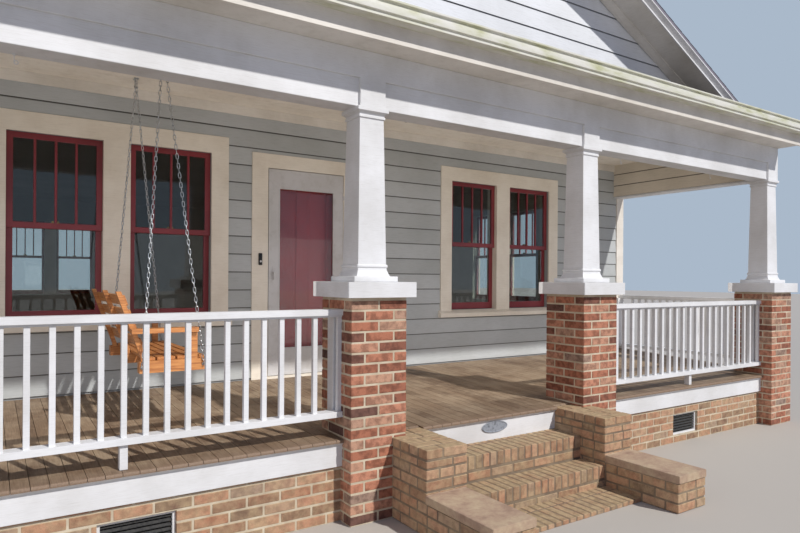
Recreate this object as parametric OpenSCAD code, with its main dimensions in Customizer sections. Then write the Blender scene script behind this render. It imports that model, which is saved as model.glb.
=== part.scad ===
// Wooden bungalow with a full-width front porch, brick piers and brick steps.
// Millimetres, +Z up. The front faces -Y and the ground is at z = 0.

/* [House body] */
// Half of the house's width over the siding
house_half = 4150; // [3500:5000]
// Outer face of the front wall
front_wall_y = -3110; // [-3400:-2800]
// Outer face of the rear wall
rear_wall_y = 5890; // [5000:7000]
// Thickness of the house walls
wall_thick = 150; // [100:250]
// Underside of walls and floors on the foundation
sill_z = 500; // [400:600]
// Top of the indoor floor
house_floor_z = 635; // [600:700]
// Underside of the ceilings
ceiling_z = 3109; // [2900:3300]
// Thickness of the ceiling boards
ceiling_thick = 20; // [10:40]
// Top of the front wall's plate
plate_z = 3230; // [3150:3400]

/* [Porch] */
// Centre of the inner columns, beside the steps
inner_column_x = 1070; // [900:1300]
// Setback of the outer columns from the house's sides
column_inset = 95; // [50:300]
// Centre line of the columns
column_y = -5056; // [-5300:-4800]
// Front edge of the floor boards
floor_edge_y = -5175; // [-5300:-5000]
// Overhang of the floor past the house's sides
floor_over = 25; // [0:60]
// Underside of the floor boards
porch_sill_z = 510; // [450:520]
// Floor height at its front edge
floor_front_z = 530; // [450:600]
// Floor height at the house wall
floor_back_z = 615; // [560:640]
// Height of the white apron board below the floor
apron_high = 155; // [100:200]
// Thickness of the apron board
apron_thick = 22; // [15:40]

/* [Brickwork] */
// Side of the square brick piers
pier_side = 406; // [300:500]
// Underside of the pier caps
pier_top_z = 1430; // [1200:1600]
// Side of the square pier caps
cap_side = 508; // [420:600]
// Thickness of the pier caps
cap_thick = 100; // [60:150]
// Thickness of the porch foundation wall
porch_base_thick = 200; // [100:300]
// Front face of the porch foundation wall
porch_base_y = -5125; // [-5200:-5000]
// Setback of the house foundation behind the siding
base_setback = 40; // [10:80]
// Thickness of the house foundation wall
base_thick = 300; // [200:400]
// Width of the vent holes in the foundation
vent_wide = 400; // [300:500]
// Height of the vent holes in the foundation
vent_high = 200; // [100:250]
// Underside of the vent holes
vent_z = 68; // [40:150]
// Distance of the front vents from the middle
front_vent_x = 2490; // [2000:3000]
// Depth of the vent grilles
vent_deep = 30; // [20:50]
// Setback of the vent grilles behind the brickwork
vent_setback = 20; // [0:40]
// Width of the frame round a vent grille
vent_frame = 18; // [10:30]
// Thickness of a vent grille's bars and blades
vent_bar = 4; // [3:8]
// Blades in a vent grille
vent_blades = 7; // [4:10]
// Upright bars in a vent grille
vent_bars = 9; // [4:14]

/* [Steps] */
// Half of the width between the cheek walls
step_half = 660; // [500:800]
// Thickness of the cheek walls
cheek_wide = 305; // [200:400]
// Front face of the upper cheeks and of the lower step
lower_step_y = -5640; // [-5800:-5500]
// Front face of the upper step
upper_step_y = -5410; // [-5500:-5300]
// Height of one brick step
step_rise = 175; // [150:190]
// Front edge of the brick row laid on the ground
ground_row_y = -5950; // [-6100:-5800]
// Height of the brick row on the ground
ground_row_high = 25; // [15:60]
// Top of the upper cheeks
upper_cheek_z = 518; // [450:560]
// Front face of the lower cheeks
lower_cheek_y = -6238; // [-6400:-6000]
// Top of the lower cheeks' brickwork
lower_cheek_z = 200; // [150:250]
// Thickness of the lower cheeks' smooth tops
cheek_cap_thick = 52; // [40:80]
// Overhang of the lower cheeks' smooth tops
cheek_cap_over = 10; // [5:25]
// Width of the oval plaque
plaque_wide = 250; // [120:300]
// Height of the oval plaque
plaque_high = 86; // [60:120]
// Thickness of the oval plaque
plaque_thick = 8; // [4:15]
// Height of the plaque's middle
plaque_z = 447; // [400:460]
// Offset of the plaque from the middle of the steps
plaque_x = 10; // [-200:200]

/* [Columns and beam] */
// Height of the board under the porch ceiling on the wall
wall_frieze_high = 83; // [50:120]
// Width of the boards at the house's corners
corner_wide = 140; // [100:180]
// Column side at the foot
shaft_foot = 212; // [180:260]
// Column side at the head
shaft_head = 181; // [150:220]
// Side of the flared base on the cap
flare_side = 325; // [260:400]
// Height of the plain edge under the flare
flare_edge = 14; // [5:30]
// Height of the flared base
flare_high = 98; // [60:140]
// Side of the column's top moulding
capital_side = 232; // [200:280]
// Height of the column's top moulding
capital_high = 66; // [40:100]
// Underside of the porch beam
beam_z = 2667; // [2500:2800]
// Width of the porch beam
beam_wide = 172; // [140:220]
// Underside of the upper frieze board
frieze_z = 2850; // [2800:2950]
// Projection of the frieze board before the beam
frieze_thick = 20; // [10:40]
// Width of the blocks over the columns
block_wide = 190; // [150:230]

/* [Main roof] */
// Rise of every roof slope for each unit of run
pitch = 0.5; // [0.4:0.05:0.6]
// Front face of the eave boards
eave_y = -5410; // [-5500:-5300]
// Distance of the rear eave board from the rear wall
rear_eave_out = 250; // [150:400]
// Underside of the roof at the eave boards' face
roof_z = 3180; // [3100:3300]
// Upright thickness of the roof
roof_thick = 60; // [40:100]
// Overhang of the roof before the eave boards
drip_out = 18; // [10:40]
// Overhang of the roof at the side walls
rake_out = 60; // [40:120]
// Underside of the flat eave boards
soffit_z = 3030; // [2950:3100]
// Thickness of the flat eave boards
soffit_thick = 14; // [10:25]
// Underside of the upright eave boards
fascia_z = 3012; // [2950:3050]
// Thickness of the upright eave boards
fascia_thick = 22; // [15:40]
// Depth of the gutter
gutter_deep = 108; // [80:140]
// Underside of the gutter
gutter_z = 3123; // [3080:3150]
// Height of the gutter's outer lip
gutter_high = 106; // [80:130]
// Thickness of the gutter's sheet
gutter_sheet = 5; // [3:10]
// Height of the sloping boards on the side gables
rake_board_high = 150; // [80:220]
// Thickness of the sloping boards on the side gables
rake_board_thick = 28; // [15:50]

/* [Front gable] */
// Top of the front gable's ridge
gable_ridge_z = 5050; // [4700:5400]
// Front edge of the front gable's roof
gable_roof_y = -5195; // [-5400:-5000]
// Face of the front gable's sloping boards
gable_board_y = -5178; // [-5400:-5000]
// Front face of the gable wall
gable_wall_y = -4860; // [-5100:-4600]
// Thickness of the gable wall
gable_wall_thick = 120; // [80:200]
// Height of the front gable's sloping boards
gable_board_high = 92; // [60:150]

/* [Windows] */
// Width of one sash
sash_wide = 665; // [500:800]
// Width of the post between two sashes
post_wide = 205; // [100:250]
// Underside of the sashes
window_z = 1210; // [1000:1400]
// Height of a pair of sashes, one above the other
window_high = 1445; // [1200:1600]
// Middle of the front window left of the door
left_window_x = -2285; // [-2500:-2000]
// Middle of the front window right of the door
right_window_x = 1932; // [1700:2300]
// Middle of the front side windows
side_window_a = -850; // [-1500:0]
// Middle of the rear side windows
side_window_b = 3600; // [2500:4500]
// Distance of the rear wall's windows from the middle
rear_window_x = 2100; // [1500:2800]
// Width of the boards round a window
casing_wide = 153; // [100:200]
// Projection of the boards round windows and doors
casing_thick = 22; // [15:40]
// Height of a window sill's front face
sill_high = 44; // [30:70]
// Fall of a window sill's top to its front face
sill_fall = 38; // [10:60]
// Projection of a window's sill
sill_out = 62; // [40:100]
// Width of a sash's wooden frame
sash_frame = 46; // [35:70]
// Height of a lower sash's bottom rail
sash_foot = 75; // [50:100]
// Thickness of a sash
sash_thick = 35; // [25:50]
// Setback of the upper sash behind the wall's face
sash_setback = 20; // [0:60]
// Thickness of the window glass
glass_thick = 6; // [4:12]
// How far a window's sill passes the boards beside the window
sill_past = 25; // [10:60]

/* [Doors] */
// Middle of the doorway
door_x = -599; // [-800:-400]
// Width of the hole in the wall for the door
door_hole_wide = 838; // [800:1000]
// Top of the hole in the wall for the door
door_hole_z = 2601; // [2500:2700]
// Thickness of the door frame's lining
door_lining = 25; // [20:40]
// Width of the boards round the door
door_casing_wide = 129; // [90:160]
// Top of the board over the door
door_casing_z = 2707; // [2650:2800]
// Gap round the door leaves
door_gap = 6; // [5:10]
// Height of the threshold over the porch floor
threshold_high = 20; // [10:40]
// Projection of the threshold before the door frame
threshold_out = 30; // [20:50]
// Thickness of the storm door
storm_thick = 32; // [25:45]
// Thickness of the entry door
entry_thick = 44; // [35:50]
// Width of the storm door's frame
storm_frame = 96; // [70:130]
// Height of the storm door's top rail
storm_head = 166; // [90:200]
// Height of the storm door's solid lower panel
storm_kick = 241; // [150:400]
// Width of the edge round the storm door's lower panel
kick_edge = 28; // [15:60]
// Depth of the panels' recesses in both doors
panel_deep = 8; // [4:12]
// Width of the entry door's side and middle boards
door_stile = 115; // [90:150]
// Height of the entry door's bottom board
door_bottom = 240; // [180:300]
// Width of the sloped edge round an entry door's panel
panel_edge = 28; // [15:50]
// Height of the door handle and knob over the threshold's underside
handle_up = 965; // [900:1100]
// Distance of the storm door's handle from the leaf's edge
handle_in = 49; // [40:70]
// Height of the storm door's handle plate
handle_high = 130; // [90:180]
// Width of the storm door's handle plate
handle_wide = 26; // [20:40]
// Projection of the storm door's handle
handle_out = 46; // [30:60]
// Distance of the entry door's knob from the leaf's edge
knob_in = 65; // [55:80]
// Radius of the entry door's knob
knob_round = 25; // [20:32]
// Projection of the entry door's knob
knob_out = 55; // [45:70]
// Distance from the doorbell to the doorway
doorbell_in = 52; // [30:90]
// Height of the doorbell's middle over the porch floor
doorbell_up = 1110; // [1000:1300]
// Height of the doorbell
doorbell_high = 110; // [80:150]
// Width of the doorbell
doorbell_wide = 32; // [25:50]
// Depth of the doorbell
doorbell_deep = 20; // [12:30]
// Distance of the outer hinges from the leaf's ends
hinge_in = 220; // [150:300]
// Offset of the hinge lines before the door leaves
hinge_out = 7; // [6:15]
// Width of a hinge's plate on the leaf
hinge_leaf = 32; // [25:45]
// Radius of a hinge's pin
hinge_pin = 3; // [2:5]
// Radius of a hinge's knuckles
hinge_round = 5.5; // [4:8]
// Height of a hinge
hinge_high = 90; // [60:120]
// Height of the knuckle on the leaf
hinge_knuckle = 40; // [20:60]
// Thickness of a hinge's plate on the leaf
hinge_plate = 3; // [2:3]

/* [Railings] */
// Top of the hand rail left of the steps
left_rail_z = 1354; // [1200:1500]
// Top of the hand rail right of the steps
right_rail_z = 1341; // [1200:1500]
// Top of the hand rails at the porch's ends
side_rail_z = 1348; // [1200:1500]
// Underside of the lower rail left of the steps
left_low_rail_z = 668; // [600:720]
// Underside of the lower rail right of the steps
right_low_rail_z = 636; // [600:720]
// Underside of the lower rails at the porch's ends
side_low_rail_z = 650; // [645:720]
// Distance of the rails' faces from the columns' middles
rail_out = 93; // [40:150]
// Height of the hand rail
rail_high = 38; // [30:60]
// Depth of both rails
rail_deep = 89; // [70:110]
// Height of the strip under the hand rail
rail_strip_high = 12; // [8:30]
// Setback of the strip behind the hand rail's face
rail_strip_in = 14; // [8:30]
// Height of the lower rail
low_rail_high = 36; // [30:60]
// Side of a baluster
baluster = 29; // [25:40]
// Setback of the balusters behind the rails' faces
baluster_in = 20; // [10:30]
// Distance from a pier to the first free baluster
baluster_first = 185; // [120:220]
// Distance from baluster to baluster, at most
baluster_step = 111; // [90:140]
// Thickness of the posts at a railing's ends
rail_post = 38; // [30:60]
// Depth of the posts at a railing's ends
rail_post_deep = 83; // [60:120]
// Setback of the end posts behind the rails' faces
rail_post_in = 64; // [40:75]
// Width of the foot under a railing's middle
rail_foot = 40; // [30:120]
// Depth of the foot under a railing's middle
rail_foot_deep = 50; // [30:80]

/* [Porch swing] */
// Place of the swing's hooks across the porch
swing_x = -2200; // [-2500:-2000]
// Hook nearer the street
swing_front_hook = -4330; // [-4500:-4200]
// Hook nearer the house
swing_rear_hook = -3420; // [-3600:-3350]
// Street end of the seat
swing_front_y = -4470; // [-4600:-4300]
// House end of the seat
swing_rear_y = -3280; // [-3400:-3200]
// Top of the seat
swing_seat_z = 1035; // [900:1100]
// Depth of the seat
swing_deep = 410; // [380:550]
// Top of the arm rests
swing_arm_z = 1225; // [1150:1300]
// Top of the back
swing_back_z = 1460; // [1400:1600]
// Backward lean of the back at its top
swing_lean = 150; // [80:220]
// Distance of the front chains from the bearers' ends
front_chain_in = 10; // [10:30]
// Distance of the rear chains from the bearers' ends
rear_chain_in = 15; // [15:60]
// Thickness of the swing's chains
chain_thick = 12; // [8:20]
// Distance from the ceiling to the swing's hinge line
hook_drop = 60; // [30:90]
// Radius of the bar in a ceiling hook
hook_pin = 6; // [4:10]
// Width of the ring that hangs on a ceiling hook
hook_ring_wide = 12; // [8:20]
// Offset of the swing's middle from its hooks, towards its front
swing_offset = 44; // [0:120]
// Width of the swing's end frames
swing_side = 70; // [50:90]
// Height of the bearers under the seat
swing_bearer = 75; // [50:100]
// Thickness of the posts under the arm rests and behind the back
swing_post = 35; // [30:45]
// Width of the arm rests
swing_arm = 80; // [70:120]
// Thickness of the arm rests
swing_arm_thick = 30; // [20:40]
// Width of the posts under the arm rests
arm_post_wide = 45; // [30:60]
// Distance of these posts from the bearers' front ends
arm_post_in = 50; // [45:90]
// Thickness of the posts behind the back
back_post_thick = 30; // [20:45]
// Slats in the seat
seat_slats = 6; // [4:7]
// Slats in the back
back_slats = 4; // [3:6]
// Width of a slat of the back
back_slat = 70; // [50:90]
// Thickness of the seat's slats
seat_slat_thick = 20; // [15:30]
// Thickness of the back's slats
back_slat_thick = 14; // [10:25]
// Gap between slats of the seat
slat_gap = 12; // [8:20]
// Overhang of the front slat past the bearers
slat_over = 5; // [0:15]

/* [Hidden] */
col_brick = [0.62, 0.33, 0.25];
col_white = [0.93, 0.93, 0.92];
col_sage = [0.66, 0.68, 0.63];
col_cream = [0.90, 0.86, 0.78];
col_red = [0.42, 0.10, 0.13];
col_glass = [0.45, 0.55, 0.60];
col_floor = [0.47, 0.35, 0.29];
col_roof = [0.24, 0.24, 0.26];
col_wood = [0.78, 0.48, 0.24];
col_metal = [0.70, 0.71, 0.73];
col_grey = [0.35, 0.36, 0.38];
// Gap between pieces that seat on each other
seat_gap = 0.3;
// How far cutting solids pass what they cut
past = 50;
// Overlap of solids that make one piece
fuse = 1;

outer_column_x = house_half - column_inset;
column_xs = [-outer_column_x, -inner_column_x, inner_column_x, outer_column_x];
ridge_y = (eave_y + rear_wall_y + rear_eave_out) / 2;
rear_eave_y = rear_wall_y + rear_eave_out;
ridge_z = roof_z + (ridge_y - eave_y) * pitch;
roof_half = house_half + rake_out;
cap_z = pier_top_z + cap_thick;
pier_half = pier_side / 2;
beam_front = column_y - beam_wide / 2;
beam_back = column_y + beam_wide / 2;
frieze_y = beam_front - frieze_thick;
beam_in = outer_column_x - beam_wide / 2;
beam_out = outer_column_x + beam_wide / 2;
inner_front_y = front_wall_y + wall_thick;
inner_rear_y = rear_wall_y - wall_thick;
inner_half = house_half - wall_thick;
pair_wide = 2 * sash_wide + post_wide;
meeting_z = window_z + (window_high + sash_foot - sash_frame) / 2;
lower_sash_y = sash_setback + sash_thick + seat_gap;
door_left = door_x - door_hole_wide / 2;
door_right = door_x + door_hole_wide / 2;
leaf_left = door_left + door_lining + door_gap;
leaf_right = door_right - door_lining - door_gap;
threshold_z = floor_back_z + threshold_high;
leaf_z = threshold_z + door_gap;
leaf_top_z = door_hole_z - door_lining - door_gap;
frame_front_y = front_wall_y - casing_thick;
storm_y = frame_front_y;
entry_y = inner_front_y - entry_thick;
handle_z = threshold_z + handle_up;
base_half = house_half - base_setback;
swing_hinge_z = ceiling_z - hook_drop;
swing_mid = swing_x + swing_offset;
swing_half = swing_deep / 2;
swing_bearer_z = swing_seat_z - seat_slat_thick;
arm_over = 30;
chain_off = 14;
back_x = swing_mid - swing_half + 45;
swing_ends = [[swing_front_y, 1, swing_front_hook], [swing_rear_y, -1, swing_rear_hook]];
hinge_x = leaf_right + door_gap / 2;
hinge_zs = [leaf_z + hinge_in, (leaf_z + leaf_top_z) / 2, leaf_top_z - hinge_in];
gable_reach = (gable_ridge_z - roof_z) / pitch + past;

// A box from one corner to the opposite corner
module span(a, b) {
    translate(a) cube([b[0] - a[0], b[1] - a[1], b[2] - a[2]]);
}

// A profile drawn in the plane of Y and Z, drawn out along X
module along_x(x0, x1, points) {
    translate([x0, 0, 0])
        rotate([90, 0, 90])
            linear_extrude(height = x1 - x0) polygon(points);
}

// A profile drawn in the plane of X and Z, drawn out along Y
module along_y(y0, y1, points) {
    translate([0, y1, 0])
        rotate([90, 0, 0])
            linear_extrude(height = y1 - y0) polygon(points);
}

// Everything under the top of the main roof
module under_main_roof(lift) {
    along_x(-roof_half - past, roof_half + past, [
        [eave_y - past, 0],
        [rear_eave_y + past, 0],
        [rear_eave_y + past, roof_z + lift - past * pitch],
        [ridge_y, ridge_z + lift],
        [eave_y - past, roof_z + lift - past * pitch]]);
}

function porch_floor_at(y) =
    floor_front_z + (floor_back_z - floor_front_z)
        * (y - floor_edge_y) / (front_wall_y - floor_edge_y);

// Half widths and heights of a column, from its flared base up to its top moulding
flare_steps = 4;
head_z = beam_z - capital_high;
column_side = concat(
    [[flare_side / 2, cap_z]],
    [for (i = [0 : flare_steps])
        [shaft_foot / 2 + (flare_side - shaft_foot) / 2 * (1 - sin(90 * i / flare_steps)),
         cap_z + flare_edge + flare_high * (1 - cos(90 * i / flare_steps))]],
    [[shaft_head / 2, head_z],
     [shaft_head / 2 + 8, head_z],
     [shaft_head / 2 + 8, head_z + capital_high * 0.25],
     [shaft_head / 2 + 3, head_z + capital_high * 0.25],
     [shaft_head / 2 + 5, head_z + capital_high * 0.42],
     [capital_side / 2 - 7, head_z + capital_high * 0.62],
     [capital_side / 2, head_z + capital_high * 0.64],
     [capital_side / 2, beam_z]]);

// A square post with the same outline on all four sides
module square_post(side) {
    outline = concat(side, [for (i = [len(side) - 1 : -1 : 0]) [-side[i][0], side[i][1]]]);
    intersection() {
        along_x(-side[0][0] - 1, side[0][0] + 1, outline);
        along_y(-side[0][0] - 1, side[0][0] + 1, outline);
    }
}

module brick_piers() {
    color(col_brick)
        for (x = column_xs)
            span([x - pier_half, column_y - pier_half, 0],
                 [x + pier_half, column_y + pier_half, pier_top_z]);
}

module pier_caps() {
    color(col_white)
        for (x = column_xs)
            span([x - cap_side / 2, column_y - cap_side / 2, pier_top_z],
                 [x + cap_side / 2, column_y + cap_side / 2, cap_z]);
}

module porch_columns() {
    color(col_white)
        for (x = column_xs)
            translate([x, column_y, 0]) square_post(column_side);
}

// A box between two distances from the middle, on the side s of the house
module beside(s, x0, x1, y0, y1, z0, z1) {
    span([min(s * x0, s * x1), y0, z0], [max(s * x0, s * x1), y1, z1]);
}

// Children at each vent in the foundation, with the brickwork's face at y = 0 and outdoors at -Y
module at_vents() {
    for (s = [-1, 1])
        translate([s * front_vent_x, porch_base_y, vent_z]) children();
    for (y = [side_window_a, side_window_b]) {
        translate([-base_half, y, vent_z]) rotate([0, 0, -90]) children();
        translate([base_half, y, vent_z]) rotate([0, 0, 90]) children();
    }
}

module vent_hole() {
    span([-vent_wide / 2, -past, 0], [vent_wide / 2, base_thick + past, vent_high]);
}

module porch_foundation() {
    color(col_brick)
        difference() {
            for (s = [-1, 1]) {
                beside(s, inner_column_x + pier_half, outer_column_x - pier_half,
                       porch_base_y, porch_base_y + porch_base_thick, 0, porch_sill_z);
                beside(s, base_half - porch_base_thick, base_half,
                       column_y + pier_half, front_wall_y, 0, porch_sill_z);
                beside(s, base_half - porch_base_thick, base_half,
                       front_wall_y - fuse, front_wall_y + base_setback, 0, sill_z);
            }
            at_vents() vent_hole();
        }
    color(col_brick)
        span([-inner_column_x + pier_half, porch_base_y, 0],
             [inner_column_x - pier_half, porch_base_y + porch_base_thick, porch_sill_z]);
}

module house_foundation() {
    color(col_brick)
        difference() {
            span([-base_half, front_wall_y + base_setback, 0],
                 [base_half, rear_wall_y - base_setback, sill_z]);
            span([-base_half + base_thick, front_wall_y + base_setback + base_thick, -past],
                 [base_half - base_thick, rear_wall_y - base_setback - base_thick, sill_z + past]);
            at_vents() vent_hole();
        }
}

// A grille with sloped blades before upright bars, in a frame
module vent_grille() {
    half = vent_wide / 2;
    inner = half - vent_frame;
    low = vent_frame + vent_bar;
    rise = (vent_high - 2 * low) / vent_blades;
    step = 2 * inner / (vent_bars + 1);
    translate([0, vent_setback, 0]) {
        difference() {
            span([-half, 0, 0], [half, vent_deep, vent_high]);
            span([-inner, -past, vent_frame], [inner, vent_deep + past, vent_high - vent_frame]);
        }
        for (i = [0 : vent_blades - 1])
            along_x(-inner - fuse, inner + fuse, [
                [vent_bar, low + i * rise],
                [vent_bar, low + i * rise + vent_bar],
                [vent_deep - 3 * vent_bar, low + (i + 1) * rise],
                [vent_deep - 3 * vent_bar, low + (i + 1) * rise - vent_bar]]);
        for (i = [1 : vent_bars])
            span([i * step - inner - vent_bar / 2, vent_deep - 2 * vent_bar, vent_frame - fuse],
                 [i * step - inner + vent_bar / 2, vent_deep - vent_bar, vent_high - vent_frame + fuse]);
    }
}

module vent_grilles() {
    color(col_grey) at_vents() vent_grille();
}

module brick_steps() {
    color(col_brick)
        along_x(-step_half, step_half, [
            [porch_base_y, 0],
            [porch_base_y, 2 * step_rise],
            [upper_step_y, 2 * step_rise],
            [upper_step_y, step_rise],
            [lower_step_y, step_rise],
            [lower_step_y, ground_row_high],
            [ground_row_y, ground_row_high],
            [ground_row_y, 0]]);
}

module step_cheeks() {
    outer = step_half + cheek_wide;
    pier_front = column_y - pier_half;
    color(col_brick)
        for (s = [-1, 1]) {
            beside(s, step_half, outer, lower_step_y, pier_front, 0, upper_cheek_z);
            beside(s, step_half, inner_column_x - pier_half, pier_front - fuse, porch_base_y,
                   0, upper_cheek_z);
            beside(s, step_half, outer, lower_cheek_y, lower_step_y + fuse, 0, lower_cheek_z);
            beside(s, step_half, outer + cheek_cap_over, lower_cheek_y - cheek_cap_over,
                   lower_step_y, lower_cheek_z, lower_cheek_z + cheek_cap_thick);
        }
}

module oval_plaque() {
    color(col_grey)
        translate([plaque_x, porch_base_y - apron_thick, plaque_z])
            rotate([90, 0, 0])
                scale([plaque_wide / 2, plaque_high / 2, plaque_thick])
                    cylinder(h = 1, r = 1, $fn = 40);
}

module porch_floor() {
    side = house_half + floor_over;
    pier_space = pier_half + seat_gap;
    color(col_floor)
        difference() {
            along_x(-side, side, [
                [floor_edge_y, porch_sill_z],
                [front_wall_y, porch_sill_z],
                [front_wall_y, floor_back_z],
                [floor_edge_y, floor_front_z]]);
            for (x = column_xs)
                span([x - pier_space, column_y - pier_side, sill_z - past],
                     [x + pier_space, column_y + pier_space, floor_back_z]);
            for (s = [-1, 1])
                beside(s, step_half - seat_gap, inner_column_x, floor_edge_y - past, porch_base_y,
                       sill_z - past, floor_back_z);
        }
}

module porch_apron() {
    low = porch_sill_z - apron_high;
    face = porch_base_y - apron_thick;
    color(col_white)
        span([-step_half, face, 2 * step_rise], [step_half, porch_base_y, porch_sill_z]);
    color(col_white)
        for (s = [-1, 1]) {
            beside(s, inner_column_x + pier_half, outer_column_x - pier_half,
                   face, porch_base_y, low, porch_sill_z);
            beside(s, base_half, base_half + apron_thick, column_y + pier_half, front_wall_y,
                   low, porch_sill_z);
        }
}

// A railing along +X with its face at y = 0: rails, end posts and balusters
module rail_run(length, top, low_z) {
    free = length - 2 * baluster_first;
    count = ceil(free / baluster_step);
    starts = [for (i = [0 : count]) baluster_first + i * free / count - baluster / 2];
    low = low_z + low_rail_high - fuse;
    rail_low = top - rail_high;
    span([0, 0, rail_low], [length, rail_deep, top]);
    span([0, rail_strip_in, rail_low - rail_strip_high],
         [length, rail_deep - rail_strip_in, rail_low + fuse]);
    span([0, 0, low_z], [length, rail_deep, low_z + low_rail_high]);
    for (x = concat([0, length - baluster], starts))
        span([x, baluster_in, low],
             [x + baluster, baluster_in + baluster, rail_low - rail_strip_high + fuse]);
    for (x = [0, length - rail_post])
        span([x, rail_post_in, low_z], [x + rail_post, rail_post_in + rail_post_deep, rail_low + fuse]);
}

// The block that carries a long railing's middle
module rail_foot_at(x, low_z) {
    back = baluster_in + rail_foot_deep;
    span([x - rail_foot / 2, baluster_in, porch_floor_at(column_y - rail_out + back) + seat_gap],
         [x + rail_foot / 2, back, low_z + fuse]);
}

module porch_railings() {
    bay = outer_column_x - inner_column_x - pier_side;
    side_length = frame_front_y - column_y - pier_half;
    side_x = outer_column_x + rail_out;
    fronts = [
        [-outer_column_x, left_rail_z, left_low_rail_z],
        [inner_column_x, right_rail_z, right_low_rail_z]];
    color(col_white) {
        for (f = fronts)
            translate([f[0] + pier_half, column_y - rail_out, 0]) {
                rail_run(bay, f[1], f[2]);
                rail_foot_at(bay / 2, f[2]);
            }
        translate([side_x, column_y + pier_half, 0])
            rotate([0, 0, 90]) rail_run(side_length, side_rail_z, side_low_rail_z);
        translate([-side_x, frame_front_y, 0])
            rotate([0, 0, -90]) rail_run(side_length, side_rail_z, side_low_rail_z);
    }
}

module window_hole(c) {
    deep = wall_thick + past;
    span([c - pair_wide / 2, -deep, window_z], [c + pair_wide / 2, deep, window_z + window_high]);
}

module front_wall_left() {
    color(col_sage)
        difference() {
            span([-inner_half, front_wall_y, sill_z], [door_left, inner_front_y, plate_z]);
            translate([0, front_wall_y, 0]) window_hole(left_window_x);
        }
}

module front_wall_right() {
    color(col_sage)
        difference() {
            span([door_right, front_wall_y, sill_z], [inner_half, inner_front_y, plate_z]);
            translate([0, front_wall_y, 0]) window_hole(right_window_x);
        }
}

module front_wall_over_door() {
    color(col_sage)
        span([door_left, front_wall_y, door_hole_z], [door_right, inner_front_y, plate_z]);
}

module side_wall(x0, x1) {
    difference() {
        intersection() {
            span([x0, front_wall_y, sill_z], [x1, rear_wall_y, ridge_z]);
            under_main_roof(0);
        }
        for (y = [side_window_a, side_window_b])
            span([x0 - past, y - pair_wide / 2, window_z],
                 [x1 + past, y + pair_wide / 2, window_z + window_high]);
    }
}

module left_wall() {
    color(col_sage) side_wall(-house_half, -inner_half);
}

module right_wall() {
    color(col_sage) side_wall(inner_half, house_half);
}

module rear_wall() {
    color(col_sage)
        difference() {
            intersection() {
                span([-inner_half, inner_rear_y, sill_z], [inner_half, rear_wall_y, ridge_z]);
                under_main_roof(0);
            }
            for (s = [-1, 1])
                translate([0, rear_wall_y, 0]) window_hole(s * rear_window_x);
        }
}

module house_floor() {
    color(col_floor)
        span([-inner_half, inner_front_y, sill_z], [inner_half, inner_rear_y, house_floor_z]);
}

module house_ceiling() {
    color(col_white)
        span([-inner_half, inner_front_y, ceiling_z], [inner_half, inner_rear_y, ceiling_z + ceiling_thick]);
}

module wall_trim() {
    out = house_half + casing_thick;
    color(col_cream) {
        span([-beam_in, frame_front_y, ceiling_z - wall_frieze_high], [beam_in, front_wall_y, ceiling_z]);
        for (s = [-1, 1]) {
            beside(s, house_half - corner_wide, house_half, frame_front_y, front_wall_y,
                   floor_back_z, beam_z);
            beside(s, house_half, out, rear_wall_y - corner_wide, rear_wall_y + fuse, sill_z, fascia_z);
            beside(s, house_half - corner_wide, out, rear_wall_y, rear_wall_y + casing_thick,
                   sill_z, fascia_z);
        }
    }
}

// The boards round one pair of sashes, seen from outside with the wall at y = 0
module casing_set() {
    top = window_z + window_high;
    half = pair_wide / 2;
    difference() {
        span([-half - casing_wide, -casing_thick, window_z - sill_fall],
             [half + casing_wide, 0, top + casing_wide]);
        for (s = [-1, 1])
            span([s * (sash_wide + post_wide) / 2 - sash_wide / 2, -casing_thick - past, window_z - past],
                 [s * (sash_wide + post_wide) / 2 + sash_wide / 2, past, top]);
    }
    span([-post_wide / 2, -fuse, window_z], [post_wide / 2, wall_thick, top]);
}

// A sill whose top falls from the wall to its front face
module sill_set() {
    half = pair_wide / 2 + casing_wide + sill_past;
    low = window_z - sill_fall - sill_high;
    along_x(-half, half, [
        [0, low],
        [0, window_z],
        [-sill_out, window_z - sill_fall],
        [-sill_out, low]]);
}

// A sash from low to high with a bottom rail of height foot
module sash(c, low, high, foot, y) {
    difference() {
        span([c - sash_wide / 2, y, low], [c + sash_wide / 2, y + sash_thick, high]);
        span([c - sash_wide / 2 + sash_frame, y - past, low + foot],
             [c + sash_wide / 2 - sash_frame, y + sash_thick + past, high - sash_frame]);
    }
}

// The glass of a sash with the same sizes
module pane(c, low, high, foot, y) {
    mid = y + sash_thick / 2;
    span([c - sash_wide / 2 + sash_frame + seat_gap, mid - glass_thick / 2, low + foot + seat_gap],
         [c + sash_wide / 2 - sash_frame - seat_gap, mid + glass_thick / 2, high - sash_frame - seat_gap]);
}

module sash_set() {
    for (s = [-1, 1]) {
        c = s * (sash_wide + post_wide) / 2;
        sash(c, meeting_z - sash_frame / 2, window_z + window_high, sash_frame, sash_setback);
        sash(c, window_z, meeting_z + sash_frame / 2, sash_foot, lower_sash_y);
    }
}

module glass_set() {
    for (s = [-1, 1]) {
        c = s * (sash_wide + post_wide) / 2;
        pane(c, meeting_z - sash_frame / 2, window_z + window_high, sash_frame, sash_setback);
        pane(c, window_z, meeting_z + sash_frame / 2, sash_foot, lower_sash_y);
    }
}

module at_windows() {
    for (x = [left_window_x, right_window_x])
        translate([x, front_wall_y, 0]) children();
    for (s = [-1, 1])
        translate([s * rear_window_x, rear_wall_y, 0]) rotate([0, 0, 180]) children();
    for (y = [side_window_a, side_window_b]) {
        translate([-house_half, y, 0]) rotate([0, 0, -90]) children();
        translate([house_half, y, 0]) rotate([0, 0, 90]) children();
    }
}

module window_casings() {
    color(col_cream)
        at_windows() {
            casing_set();
            sill_set();
        }
}

module window_sashes() {
    color(col_red) at_windows() sash_set();
}

module window_glass() {
    color(col_glass) at_windows() glass_set();
}

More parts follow.
